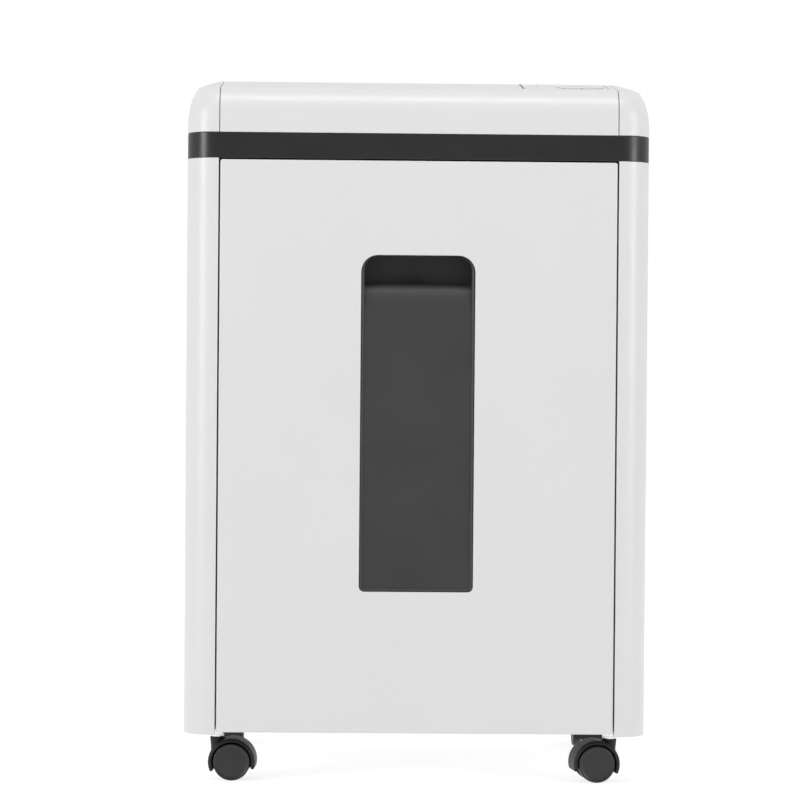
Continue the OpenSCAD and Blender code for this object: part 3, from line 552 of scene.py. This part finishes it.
def slope_frame(x, d):
    """Matrix of a spot on the lid's slope, d behind the front face: local Z is the slope's normal."""
    z = top_z - (SLOPE_END - d) * math.tan(SLOPE)
    return Matrix.Translation((x, -half_d + d, z)) @ Matrix.Rotation(SLOPE, 4, "X")


# The middles of the control panel and of the dividing strip
panel_spot = slope_frame(124 * MM, 55 * MM)
strip_spot = slope_frame(85 * MM, 53.5 * MM)


def panel_outline(grow):
    """Control panel outline: a rounded rectangle whose left side bows out on a large radius."""
    left, right, tall, corner = -28 * MM - grow, 31 * MM + grow, 32 * MM + grow, 8 * MM + grow
    bow_r, bow_x, bow_y = 90 * MM + grow, 63.6 * MM, 5 * MM
    steps = 12

    def bow(y):
        return bow_x - math.sqrt(bow_r**2 - (y - bow_y) ** 2)

    out = [(max(x, bow(y)), y) for x, y in rounded(left, right, -tall, tall, corner, steps=10)]
    dense = []
    for (x0, y0), (x1, y1) in zip(out, out[1:] + out[:1]):
        dense.append((x0, y0))
        long_left = max(x0, x1) < -10 * MM and abs(y0 - y1) > 20 * MM
        if long_left:
            heights = [y0 + (y1 - y0) * i / steps for i in range(1, steps)]
            dense += [(bow(y), y) for y in heights]
    return dense


def top_cover(name):
    """The lid between its end caps, cut for the feed throat, the control panel and the dividing strip."""
    cover = prism(name, lid_profile(0) + lid_profile(WALL)[::-1], "X", cover_lo.x, cover_hi.x)
    throat_lo, throat_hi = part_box("feed_throat")
    gap = 0.3 * MM
    throat_y, throat_half = -25 * MM, 13.7 * MM + gap
    deep, through = 10 * MM, 8 * MM
    x0, x1 = throat_lo.x - gap, throat_hi.x + gap
    throat = rounded(x0, x1, throat_y - throat_half, throat_y + throat_half, 3 * MM)
    strip = rounded(-0.85 * MM, 0.85 * MM, -30.5 * MM, 30.5 * MM, 0.5 * MM)
    cutters = [
        prism("throat_cutter", throat, "Z", top_z - deep, top_z + deep),
        moved(prism("panel_cutter", panel_outline(gap), "Z", -through, through), panel_spot),
        moved(prism("strip_cutter", strip, "Z", -through, through), strip_spot),
    ]
    return boolean(cover, cutters, "DIFFERENCE")


def cap_rings(inset):
    """Plan outlines of the right end cap, open at the seam, stacked from the trim band to the top."""
    front = [(z, y) for y, z in lid_profile(inset) if y < 0]
    width, height = SHOULDER[0] - inset, SHOULDER[1] - inset
    top = top_z - inset
    shoulder_z = top - height
    corner_r = CORNER_R - inset
    x0 = cap_lo.x
    straight, curved, corner_steps = 4, 40, 18

    def front_y(z):
        for (z0, y0), (z1, y1) in zip(front, front[1:]):
            if z0 <= z <= z1 and z1 > z0:
                return y0 + (y1 - y0) * (z - z0) / (z1 - z0)
        return front[-1][1]

    rings = []
    for i in range(-straight, curved + 1):
        rise = 0.0 if i < 0 else math.sin(math.pi / 2 * i / curved)
        z = lid_z + (shoulder_z - lid_z) * (i + straight) / straight if i < 0 else shoulder_z + height * rise
        z = min(z, top)
        x = half_w - inset - width * (1 - math.sqrt(max(0.0, 1 - rise * rise)))
        back = max(0.0, z - (top_z - REAR_R))
        y0, y1 = front_y(z), half_d - REAR_R + math.sqrt(max(0.0, (REAR_R - inset) ** 2 - back * back))
        corner = min(corner_r, x - x0 - 0.6 * MM)
        side = arc(x - corner, y0 + corner_r, corner, corner_r, -90, 0, corner_steps)
        side += arc(x - corner, y1 - corner_r, corner, corner_r, 0, 90, corner_steps)
        rings.append(level([(x0, y0)] + side + [(x0, y1)], z))
    return rings


def end_cap(name):
    """Right end cap: an outer and an inner skin, closed along the seam and the lower edge."""
    outer, inner = cap_rings(0), cap_rings(CAP_WALL)
    n, rows = len(outer[0]), len(outer)
    skin = n * rows
    verts = [p for ring in outer + inner for p in ring]
    faces = []
    for k in range(rows - 1):
        a, b = k * n, (k + 1) * n
        for i in range(n - 1):
            faces.append([a + i, a + i + 1, b + i + 1, b + i])
            faces.append([skin + b + i, skin + b + i + 1, skin + a + i + 1, skin + a + i])
        for i in (0, n - 1):
            faces.append([a + i, b + i, skin + b + i, skin + a + i])
    faces += [[i, i + 1, skin + i + 1, skin + i] for i in range(n - 1)]
    last = (rows - 1) * n
    faces.append([last, last + n - 1, skin + last + n - 1, skin + last])
    faces += [list(range(last, last + n)), list(range(skin + last + n - 1, skin + last - 1, -1))]
    return mesh_object(name, verts, faces)


dress(soften(top_cover("lid_cover"), 0.35 * MM, 3, 28), "cabinet", "casing", "top_cover")
right_cap = end_cap("lid_end_cap_right")
left_cap = mirrored(right_cap, "lid_end_cap_left")
for cap, node in ((right_cap, "end_cap_right"), (left_cap, "end_cap_left")):
    dress(soften(cap, 0.45 * MM, 3, 60), "cabinet", "casing", node)

# ---------------------------------------------------------------- controls


def half_ring(side):
    """Outline of one half of the ring around the power button, cut back from the middle line."""
    (r_in, r_out), steps = RING_R, 28
    a_out = math.degrees(math.asin(RING_GAP / r_out))
    a_in = math.degrees(math.asin(RING_GAP / r_in))
    right = arc(0, 0, r_out, r_out, a_out - 90, 90 - a_out, steps)
    right += arc(0, 0, r_in, r_in, 90 - a_in, a_in - 90, steps)
    return [(side * x, y) for x, y in right][::side]


def arrow(side):
    """A triangle in the middle of a half ring, pointing away from the power button."""
    x, size = side * 14 * MM, 2.2 * MM
    return [(x - side * size, -size), (x + side * size, 0), (x - side * size, size)][::side]


def power_cap(name):
    """Round button with a bevelled foot, a rounded rim and a dished face."""
    low, rim_z, rim = CAP_Z[0], -0.1 * MM, 0.6 * MM
    profile = [(0, low), (POWER_R - rim, low), (POWER_R, low + 0.5 * MM), (POWER_R, rim_z)]
    profile += arc(POWER_R - rim, rim_z, rim, rim, 0, 80, 5)
    profile += [(5.5 * MM, 0.32 * MM), (3 * MM, 0.12 * MM), (0, 0.05 * MM)]
    return lathe(name, profile, 72)


def ring_cap(name, side):
    """Half-ring button with an arrow sunk into its face."""
    mark_low, mark_high = 0.3 * MM, 2 * MM
    cap = prism(name, half_ring(side), "Z", *CAP_Z)
    return boolean(cap, [prism("mark", arrow(side), "Z", mark_low, mark_high)], "DIFFERENCE")


island_spot = panel_spot @ Matrix.Translation((*ISLAND, 0))
buttons = {
    "power": (power_cap("button_power_cap"), 0),
    "forward": (ring_cap("button_forward_cap", 1), 0.55 * MM),
    "reverse": (ring_cap("button_reverse_cap", -1), 0.55 * MM),
}
for which, (cap, edge) in buttons.items():
    moved(cap, island_spot)
    dress(soften(cap, edge, 4), "button_" + which, "button_white", "button_" + which)

# ---------------------------------------------------------------- door


def door_outline(inset):
    """The door's outline (x, z), inset all round, with corners that stay slightly rounded."""
    corner = max(2 * MM - inset, 0.3 * MM)
    x0, x1 = door_lo.x + inset, door_hi.x - inset
    return rounded(x0, x1, door_lo.z + inset, door_hi.z - inset, corner, steps=10)


# The opening for the window, then the door's front and back faces
win_x = window_hi.x + WINDOW_FIT
win_z0 = window_lo.z - WINDOW_FIT
win_z1 = window_hi.z + WINDOW_FIT
door_y = -half_d
door_back = -half_d + DOOR_DEPTH
# Where the tab and the bosses start: just inside the door's front wall
root_y = door_y + 2.4 * MM


def window_outline(grow):
    """The window opening's outline (x, z), grown all round."""
    x = win_x + grow
    return rounded(-x, x, win_z0 - grow, win_z1 + grow, WINDOW_BOTTOM_R + grow, WINDOW_TOP_R + grow, steps=10)


def ring_at(outline, y):
    """An outline (x, z) as a ring of points at depth y."""
    return [(x, y, z) for x, z in outline]


def door(name):
    """Hollow-backed door panel with rounded edges and a sleeve around the window."""
    sleeve = 2 * MM
    window_edge, edge = 0.8 * MM, 1.4 * MM
    inside = door_y + WALL
    rings = [ring_at(window_outline(0), door_back)]
    for along, deep in reversed(edge_round(window_edge)):
        rings.append(ring_at(window_outline(window_edge - along), door_y + deep))
    for deep, inset in reversed(edge_round(edge, 6)):
        rings.append(ring_at(door_outline(inset), door_y + deep))
    rings += [ring_at(door_outline(0), door_back), ring_at(door_outline(WALL), door_back)]
    rings += [ring_at(door_outline(WALL), inside), ring_at(window_outline(sleeve), inside)]
    rings += [ring_at(window_outline(sleeve), door_back)]
    return loft(name, rings, closed=True)


def switch_tab(name):
    """Tab at the back of the door that presses the interlock plunger."""
    tab_lo, tab_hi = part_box("interlock_plunger")
    x, z = (tab_lo.x + tab_hi.x) / 2, (tab_lo.z + tab_hi.z) / 2
    wide, tall = 3 * MM, 4 * MM
    outline = rounded(x - wide, x + wide, z - tall, z + tall, 1 * MM)
    return prism(name, outline, "Y", root_y, door_hi.y)


def screw_boss(name, x, z):
    """Boss on the back of the door that a screw of the bin holds to, with its pilot hole."""
    radius, pilot, deep = 5 * MM, 1.9 * MM, 9 * MM
    back = bin_lo.y - 0.05 * MM
    profile = [(0, root_y), (radius, root_y), (radius, back)]
    profile += [(pilot, back), (pilot, back - deep), (0, back - deep)]
    spot = Matrix.Translation((x, 0, z)) @ Matrix.Rotation(-math.pi / 2, 4, "X")
    return moved(lathe(name, profile, 32), spot)


dress(soften(door("door_front"), 0), "drawer", "casing", "door_panel")
dress(soften(switch_tab("door_switch_tab"), 0.4 * MM), "drawer", "casing")
screws_lo, screws_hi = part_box("door_screws")
screw_head_r = 4 * MM
screw_x = (screws_lo.x + screw_head_r, screws_hi.x - screw_head_r)
screw_z = (screws_lo.z + screw_head_r, screws_hi.z - screw_head_r)
for number, (x, z) in enumerate([(x, z) for x in screw_x for z in screw_z], 1):
    dress(soften(screw_boss(f"door_boss_{number}", x, z), 0.3 * MM), "drawer", "casing")


def frame_inner(side, top):
    """Inner outline of the window frame, grown by side and by top: its top rail is only a thin edge."""
    x = win_x - FRAME_W + side
    low_r, high_r = WINDOW_BOTTOM_R - FRAME_W + side, WINDOW_TOP_R - FRAME_W + side
    return rounded(-x, x, win_z0 + FRAME_W - side, win_z1 - FRAME_TOP + top, low_r, high_r, steps=10)


def window_frame(name):
    """The window's frame, with a rounded outer edge and an inner face that slopes back to the sheet."""
    front = door_y + 0.6 * MM
    back = door_back - 0.3 * MM
    edge = edge_round(0.22 * MM)
    # (growth of the opening, depth behind the front) in mm, from the frame's face down its slope
    slope = [(1.75, 0.0), (1.55, 0.05), (0.25, 0.85), (0.05, 1.0)]
    rings = [ring_at(window_outline(-WINDOW_FIT), back)]
    rings += [ring_at(window_outline(-WINDOW_FIT - inset), front + deep) for inset, deep in reversed(edge)]
    rings += [ring_at(frame_inner(grow * MM, grow * 0.14 * MM), front + deep * MM) for grow, deep in slope]
    rings += [ring_at(frame_inner(0, 0), back)]
    return loft(name, rings, closed=True)


def window_sheet(name):
    """The recessed sheet, rolled back into a lip below the finger opening."""
    face = door_y + 2 * MM
    thick = 2.5 * MM
    foot = win_z0 + 1.5 * MM
    half = win_x - FRAME_W + 0.5 * MM
    cy, cz = face + LIP[0], win_z1 - GRIP_H - LIP[1]
    outline = [(face, foot)] + arc(cy, cz, LIP[0], LIP[1], 180, 100, 30)
    outline += arc(cy, cz, LIP[0] - thick, LIP[1] - thick, 102, 180, 22) + [(face + thick, foot)]
    return prism(name, outline, "X", -half, half)


dress(soften(window_frame("window_frame"), 0), "drawer", "window_smoke", "window_panel")
dress(soften(window_sheet("window_sheet"), 0.3 * MM), "drawer", "window_smoke")

# ---------------------------------------------------------------- bin


def bin_tub(name):
    """Open tub with rounded corners and bottom edge, a folded rim and a notch for the grip pocket."""
    rim = 3 * MM
    x0, x1 = bin_lo.x + rim, bin_hi.x - rim
    y0, y1 = bin_lo.y, bin_hi.y
    z0, z1 = bin_lo.z, bin_hi.z
    wall, corner, foot = 2 * MM, 10 * MM, 5 * MM
    turns = (0.4, 0.8, 1.2, math.pi / 2)

    def ring(inset, z, out_x=0.0):
        r = max(corner - inset, 2 * MM) + out_x
        return level(rounded(x0 + inset - out_x, x1 - inset + out_x, y0 + inset, y1 - inset, r), z)

    def foot_ring(depth, a):
        """A ring of the rounded bottom edge, depth inside the outer face, at angle a."""
        r = foot - depth
        return ring(depth + r * (1 - math.sin(a)), z0 + depth + r * (1 - math.cos(a)))

    rings = [ring(foot, z0)]
    rings += [foot_ring(0, a) for a in turns]
    rings += [ring(0, z1 - 2.2 * MM), ring(0, z1 - 2 * MM, rim), ring(0, z1 - 0.5 * MM, rim)]
    rings += [ring(0.4 * MM, z1, 2.8 * MM), ring(wall - 0.5 * MM, z1), ring(wall, z1 - 0.6 * MM)]
    rings += [foot_ring(wall, a) for a in reversed(turns)]
    rings += [ring(foot + 0.5 * MM, z0 + wall)]
    tub = loft(name, rings, caps=True)
    notch_x = cup_hi.x + 4 * MM
    notch = rounded(-notch_x, notch_x, cup_lo.z - 6 * MM, z1 + 30 * MM, 6 * MM)
    return boolean(tub, [prism("notch_cutter", notch, "Y", y0 - 5 * MM, cup_hi.y + 3 * MM)], "DIFFERENCE")


dress(soften(bin_tub("waste_bin"), 0.3 * MM), "drawer", "bin_plastic", "bin")

# ---------------------------------------------------------------- castors

# Signs of X and Y, direction of the trail in degrees, and the side of the hood that each wheel is on
castors = {
    "fl": (-1, -1, -3.0, {"front": -1, "rear": 1}),
    "fr": (1, -1, 187.5, {"front": 1, "rear": -1}),
    "rl": (-1, 1, 90.0, {"left": 1, "right": -1}),
    "rr": (1, 1, 90.0, {"left": 1, "right": -1}),
}
axle_spot = Matrix.Translation((TRAIL, 0, WHEEL_R)) @ Matrix.Rotation(math.pi / 2, 4, "X")


def dome(name):
    """The hood's arch over the wheels: a rounded band swept about the axle, thinned at both ends."""
    half = CASTOR_W / 2
    r_out, r_in = 2.2 * MM, 0.5 * MM
    section = (
        arc(HOOD_OUT - r_out, -half + r_out, r_out, r_out, -90, 0, 6)
        + arc(HOOD_OUT - r_out, half - r_out, r_out, r_out, 0, 90, 6)
        + arc(HOOD_IN + r_in, half - r_in, r_in, r_in, 90, 180, 3)
        + arc(HOOD_IN + r_in, -half + r_in, r_in, r_in, 180, 270, 3)
    )
    mid = (HOOD_IN + HOOD_OUT) / 2
    low, high, steps = -18.0, 205.0, 48
    tip = math.degrees(1.1 * MM / mid)
    ends = [(0.0, 0.55), (0.3 * tip, 0.85), (tip, 1.0)]
    stops = [(low + along, size) for along, size in ends]
    stops += [(low + tip + (high - low - 2 * tip) * i / steps, 1.0) for i in range(1, steps)]
    stops += [(high - along, size) for along, size in reversed(ends)]
    rings = []
    for turn, size in stops:
        a = math.radians(turn)
        ring = []
        for r, y in section:
            reach = mid + (r - mid) * size
            narrowed = y - math.copysign(min(abs(y), (1 - size) * 1.5 * MM), y)
            ring.append((TRAIL + reach * math.cos(a), narrowed, WHEEL_R + reach * math.sin(a)))
        rings.append(ring)
    return loft(name, rings, caps=True)


def hood(name):
    """Castor hood about its stem, trailing along +X: dome, web, stem housing with its bore, and axle."""
    web_r, web_half = HOOD_IN + 1.2 * MM, 2 * MM
    foot_r, head_r, rim_r = 5.5 * MM, 6.24 * MM, 6.0 * MM
    low, shoulder, rim_z, top = 21 * MM, 27 * MM, 34 * MM, 34.6 * MM
    boss_r, boss_half = 4.5 * MM, 5.9 * MM
    bore_r, bore_low, bore_high = 3.55 * MM, 23.5 * MM, 45 * MM
    axle_half = WHEEL_IN + 5.2 * MM
    housing = [(0, low), (foot_r, low), (foot_r, shoulder), (head_r, rim_z), (rim_r, top), (0, top)]
    added = [
        prism("web", arc(TRAIL, WHEEL_R, web_r, web_r, -18, 200, 40), "Y", -web_half, web_half),
        lathe("housing", housing, 48),
        moved(drum("boss", boss_r, -boss_half, boss_half, 40), axle_spot),
    ]
    obj = boolean(dome(name), added, "UNION")
    boolean(obj, [drum("bore", bore_r, bore_low, bore_high, 40)], "DIFFERENCE")
    return boolean(obj, [moved(drum("axle", AXLE_R, -axle_half, axle_half, 32), axle_spot)], "UNION")


def wheel(name, side):
    """One wheel: a blind bore, a hub groove towards the hood, a rounded tread and a dished outer face."""
    w = CASTOR_W / 2 - WHEEL_IN
    bore, bore_deep = AXLE_R + 0.05 * MM, 5.5 * MM
    groove_in, groove_out, groove = 6 * MM, 12 * MM, 0.8 * MM
    inner_edge, outer_edge = 0.8 * MM, 1.4 * MM
    profile = [(bore, 0), (groove_in, 0), (groove_in + 0.4 * MM, groove)]
    profile += [(groove_out - 0.4 * MM, groove), (groove_out, 0)]
    profile += arc(WHEEL_R - inner_edge, inner_edge, inner_edge, inner_edge, -90, 0, 5)
    profile += arc(WHEEL_R - outer_edge, w - outer_edge, outer_edge, outer_edge, 0, 90, 8)
    profile += [(WHEEL_R - 1.9 * MM, w - 0.12 * MM), (WHEEL_R - 2.3 * MM, w - 0.45 * MM)]
    profile += [(WHEEL_R - 3.2 * MM, w - 0.55 * MM), (6 * MM, w - 0.3 * MM), (0, w - 0.25 * MM)]
    profile += [(0, bore_deep), (bore, bore_deep)]
    tip = Matrix.Rotation(math.pi / 2 if side < 0 else -math.pi / 2, 4, "X")
    spot = Matrix.Translation((TRAIL, side * WHEEL_IN, WHEEL_R)) @ tip
    return moved(lathe(name, profile, 72, around=True), spot)


hood_master = hood("hood_master")
for key, (sx, sy, turn, wheels) in castors.items():
    spot = Matrix.Translation((sx * STEM_X, sy * STEM_Y, 0)) @ Matrix.Rotation(math.radians(turn), 4, "Z")
    piece = moved(copied(hood_master, f"hood_{key}"), spot)
    dress(soften(piece, 0.35 * MM), "castor_" + key, "castor_plastic", "castor_hood_" + key)
    for end, side in wheels.items():
        body = f"wheel_{key}_{end}"
        tyre = moved(wheel(f"tyre_{key}_{end}", side), spot)
        dress(soften(tyre, 0), body, "wheel_plastic", body)
bpy.data.objects.remove(hood_master)

# ---------------------------------------------------------------- CAD pieces that keep their shape

slots = {part["node"]: part["material_slot"] for part in frame["record"]["subparts"]}
# Edge rounding in mm of the CAD pieces that take one
fine_edges = {
    "back_panel": 0.35, "feed_throat": 0.4, "control_panel": 0.25, "trim_strip": 0.2, "handle_cup": 0.8,
    "power_entry": 0.35, "rocker_paddle": 0.35, "base_pan": 0.3, "head_tray": 0.4, "bin_runners": 0.5,
    "back_screws": 0.2, "castor_stems": 0.25, "motor_can": 0.8, "compound_gear": 0.1, "cooling_fan": 0.2,
}
for name, obj in nodes.items():
    if obj.hide_render:
        continue
    material = painted_back if name == "back_panel" else materials[slots[name]]
    obj.data.materials.clear()
    obj.data.materials.append(material)
    weld = obj.modifiers.new("weld", "WELD")
    weld.merge_threshold = 1e-6
    if name in fine_edges:
        soften(obj, fine_edges[name] * MM, 2, 38)

# ---------------------------------------------------------------- studio


# Strength of the light from the sky at the horizon and overhead, and its share at the front
HORIZON = 0.82
ZENITH = 1.0
FRONT_DIM = 0.35
# Softboxes: size, power in watts, place and the point that they face
softboxes = {
    "softbox_left": ((0.50, 1.0), 25.0, (-2.04, -1.48, 0.75), (0, 0, 0.3)),
    "softbox_right": ((0.50, 1.0), 21.0, (2.05, -1.44, 0.75), (0, 0, 0.3)),
    "softbox_top": ((0.9, 0.35), 11.0, (0.02, -0.74, 1.92), (0, -0.1, 0.5)),
}
# Camera: place, focal length and sensor width in mm, yaw, pitch and roll in degrees
CAMERA_AT = (-0.0528, -2.4441, 0.3338)
LENS, SENSOR = 128.8485, 36
CAMERA_TURN = (0.966, -0.571, 0.479)


def aimed(obj, ahead, roll=0.0):
    """Points an object's -Z axis along ahead, then rolls it about that axis."""
    obj.rotation_mode = "QUATERNION"
    obj.rotation_quaternion = ahead.to_track_quat("-Z", "Y") @ Matrix.Rotation(roll, 3, "Z").to_quaternion()
    bpy.context.scene.collection.objects.link(obj)


def softbox(name, size, energy, at, target):
    """A rectangular area light that the camera doesn't see."""
    data = bpy.data.lights.new(name, "AREA")
    data.shape = "RECTANGLE"
    data.size, data.size_y = size
    data.energy = energy
    obj = bpy.data.objects.new(name, data)
    obj.location = at
    obj.visible_camera = False
    aimed(obj, Vector(target) - Vector(at))


def sky():
    """Soft light from all round, dimmer from the front. The camera sees a plain white backdrop instead."""
    world = bpy.data.worlds.new("studio")
    bpy.context.scene.world = world
    world.use_nodes = True
    tree = world.node_tree

    def node(kind, **values):
        made = tree.nodes.new("ShaderNode" + kind)
        for name, value in values.items():
            made.inputs[name.replace("_", " ")].default_value = value
        return made

    split = node("SeparateXYZ")
    tree.links.new(node("TexCoord").outputs["Generated"], split.inputs[0])
    rise = node("MapRange", To_Min=HORIZON, To_Max=ZENITH)
    tree.links.new(split.outputs["Z"], rise.inputs["Value"])
    front = node("MapRange", From_Min=-1.0, From_Max=0.6, To_Min=FRONT_DIM, To_Max=1.0)
    front.interpolation_type = "SMOOTHSTEP"
    tree.links.new(split.outputs["Y"], front.inputs["Value"])
    dimmed = node("Math")
    dimmed.operation = "MULTIPLY"
    tree.links.new(rise.outputs["Result"], dimmed.inputs[0])
    tree.links.new(front.outputs["Result"], dimmed.inputs[1])
    lit = tree.nodes["Background"]
    lit.inputs["Color"].default_value = (1, 1, 1, 1)
    tree.links.new(dimmed.outputs[0], lit.inputs["Strength"])
    backdrop = node("Background", Color=(1, 1, 1, 1), Strength=1.0)
    mix = node("MixShader")
    tree.links.new(node("LightPath").outputs["Is Camera Ray"], mix.inputs[0])
    tree.links.new(lit.outputs[0], mix.inputs[1])
    tree.links.new(backdrop.outputs[0], mix.inputs[2])
    tree.links.new(mix.outputs[0], tree.nodes["World Output"].inputs["Surface"])


def floor():
    """A pale floor, 12 m square, that glows enough to blend with the backdrop."""
    half, corner, thick = 6, 2.0, 0.02
    piece = prism("studio_floor", rounded(-half, half, -half, half, corner, steps=12), "Z", -thick, 0)
    m = Nodes("floor_paint")
    m.set("Base Color", m.shades(m.noise(2.0), [(0.3, (0.30, 0.30, 0.30)), (0.7, (0.32, 0.32, 0.32))]))
    m.set("Roughness", m.spread(m.noise(40.0), 0.75, 0.85))
    m.set("Emission Color", m.shades(m.noise(2.0), [(0.3, (0.99, 0.99, 0.99)), (0.7, (1.0, 1.0, 1.0))]))
    m.set("Emission Strength", 0.78)
    piece.data.materials.append(m.mat)


def camera():
    """The scene's camera, almost square on to the front."""
    data = bpy.data.cameras.new("camera")
    data.sensor_width = SENSOR
    data.lens = LENS
    obj = bpy.data.objects.new("camera", data)
    obj.location = CAMERA_AT
    yaw, pitch, roll = [math.radians(angle) for angle in CAMERA_TURN]
    ahead = Vector((math.sin(yaw) * math.cos(pitch), math.cos(yaw) * math.cos(pitch), math.sin(pitch)))
    aimed(obj, ahead, roll)
    bpy.context.scene.camera = obj


bpy.context.scene.view_settings.view_transform = "Standard"
sky()
floor()
for name, (size, energy, at, target) in softboxes.items():
    softbox(name, size, energy, at, target)
camera()
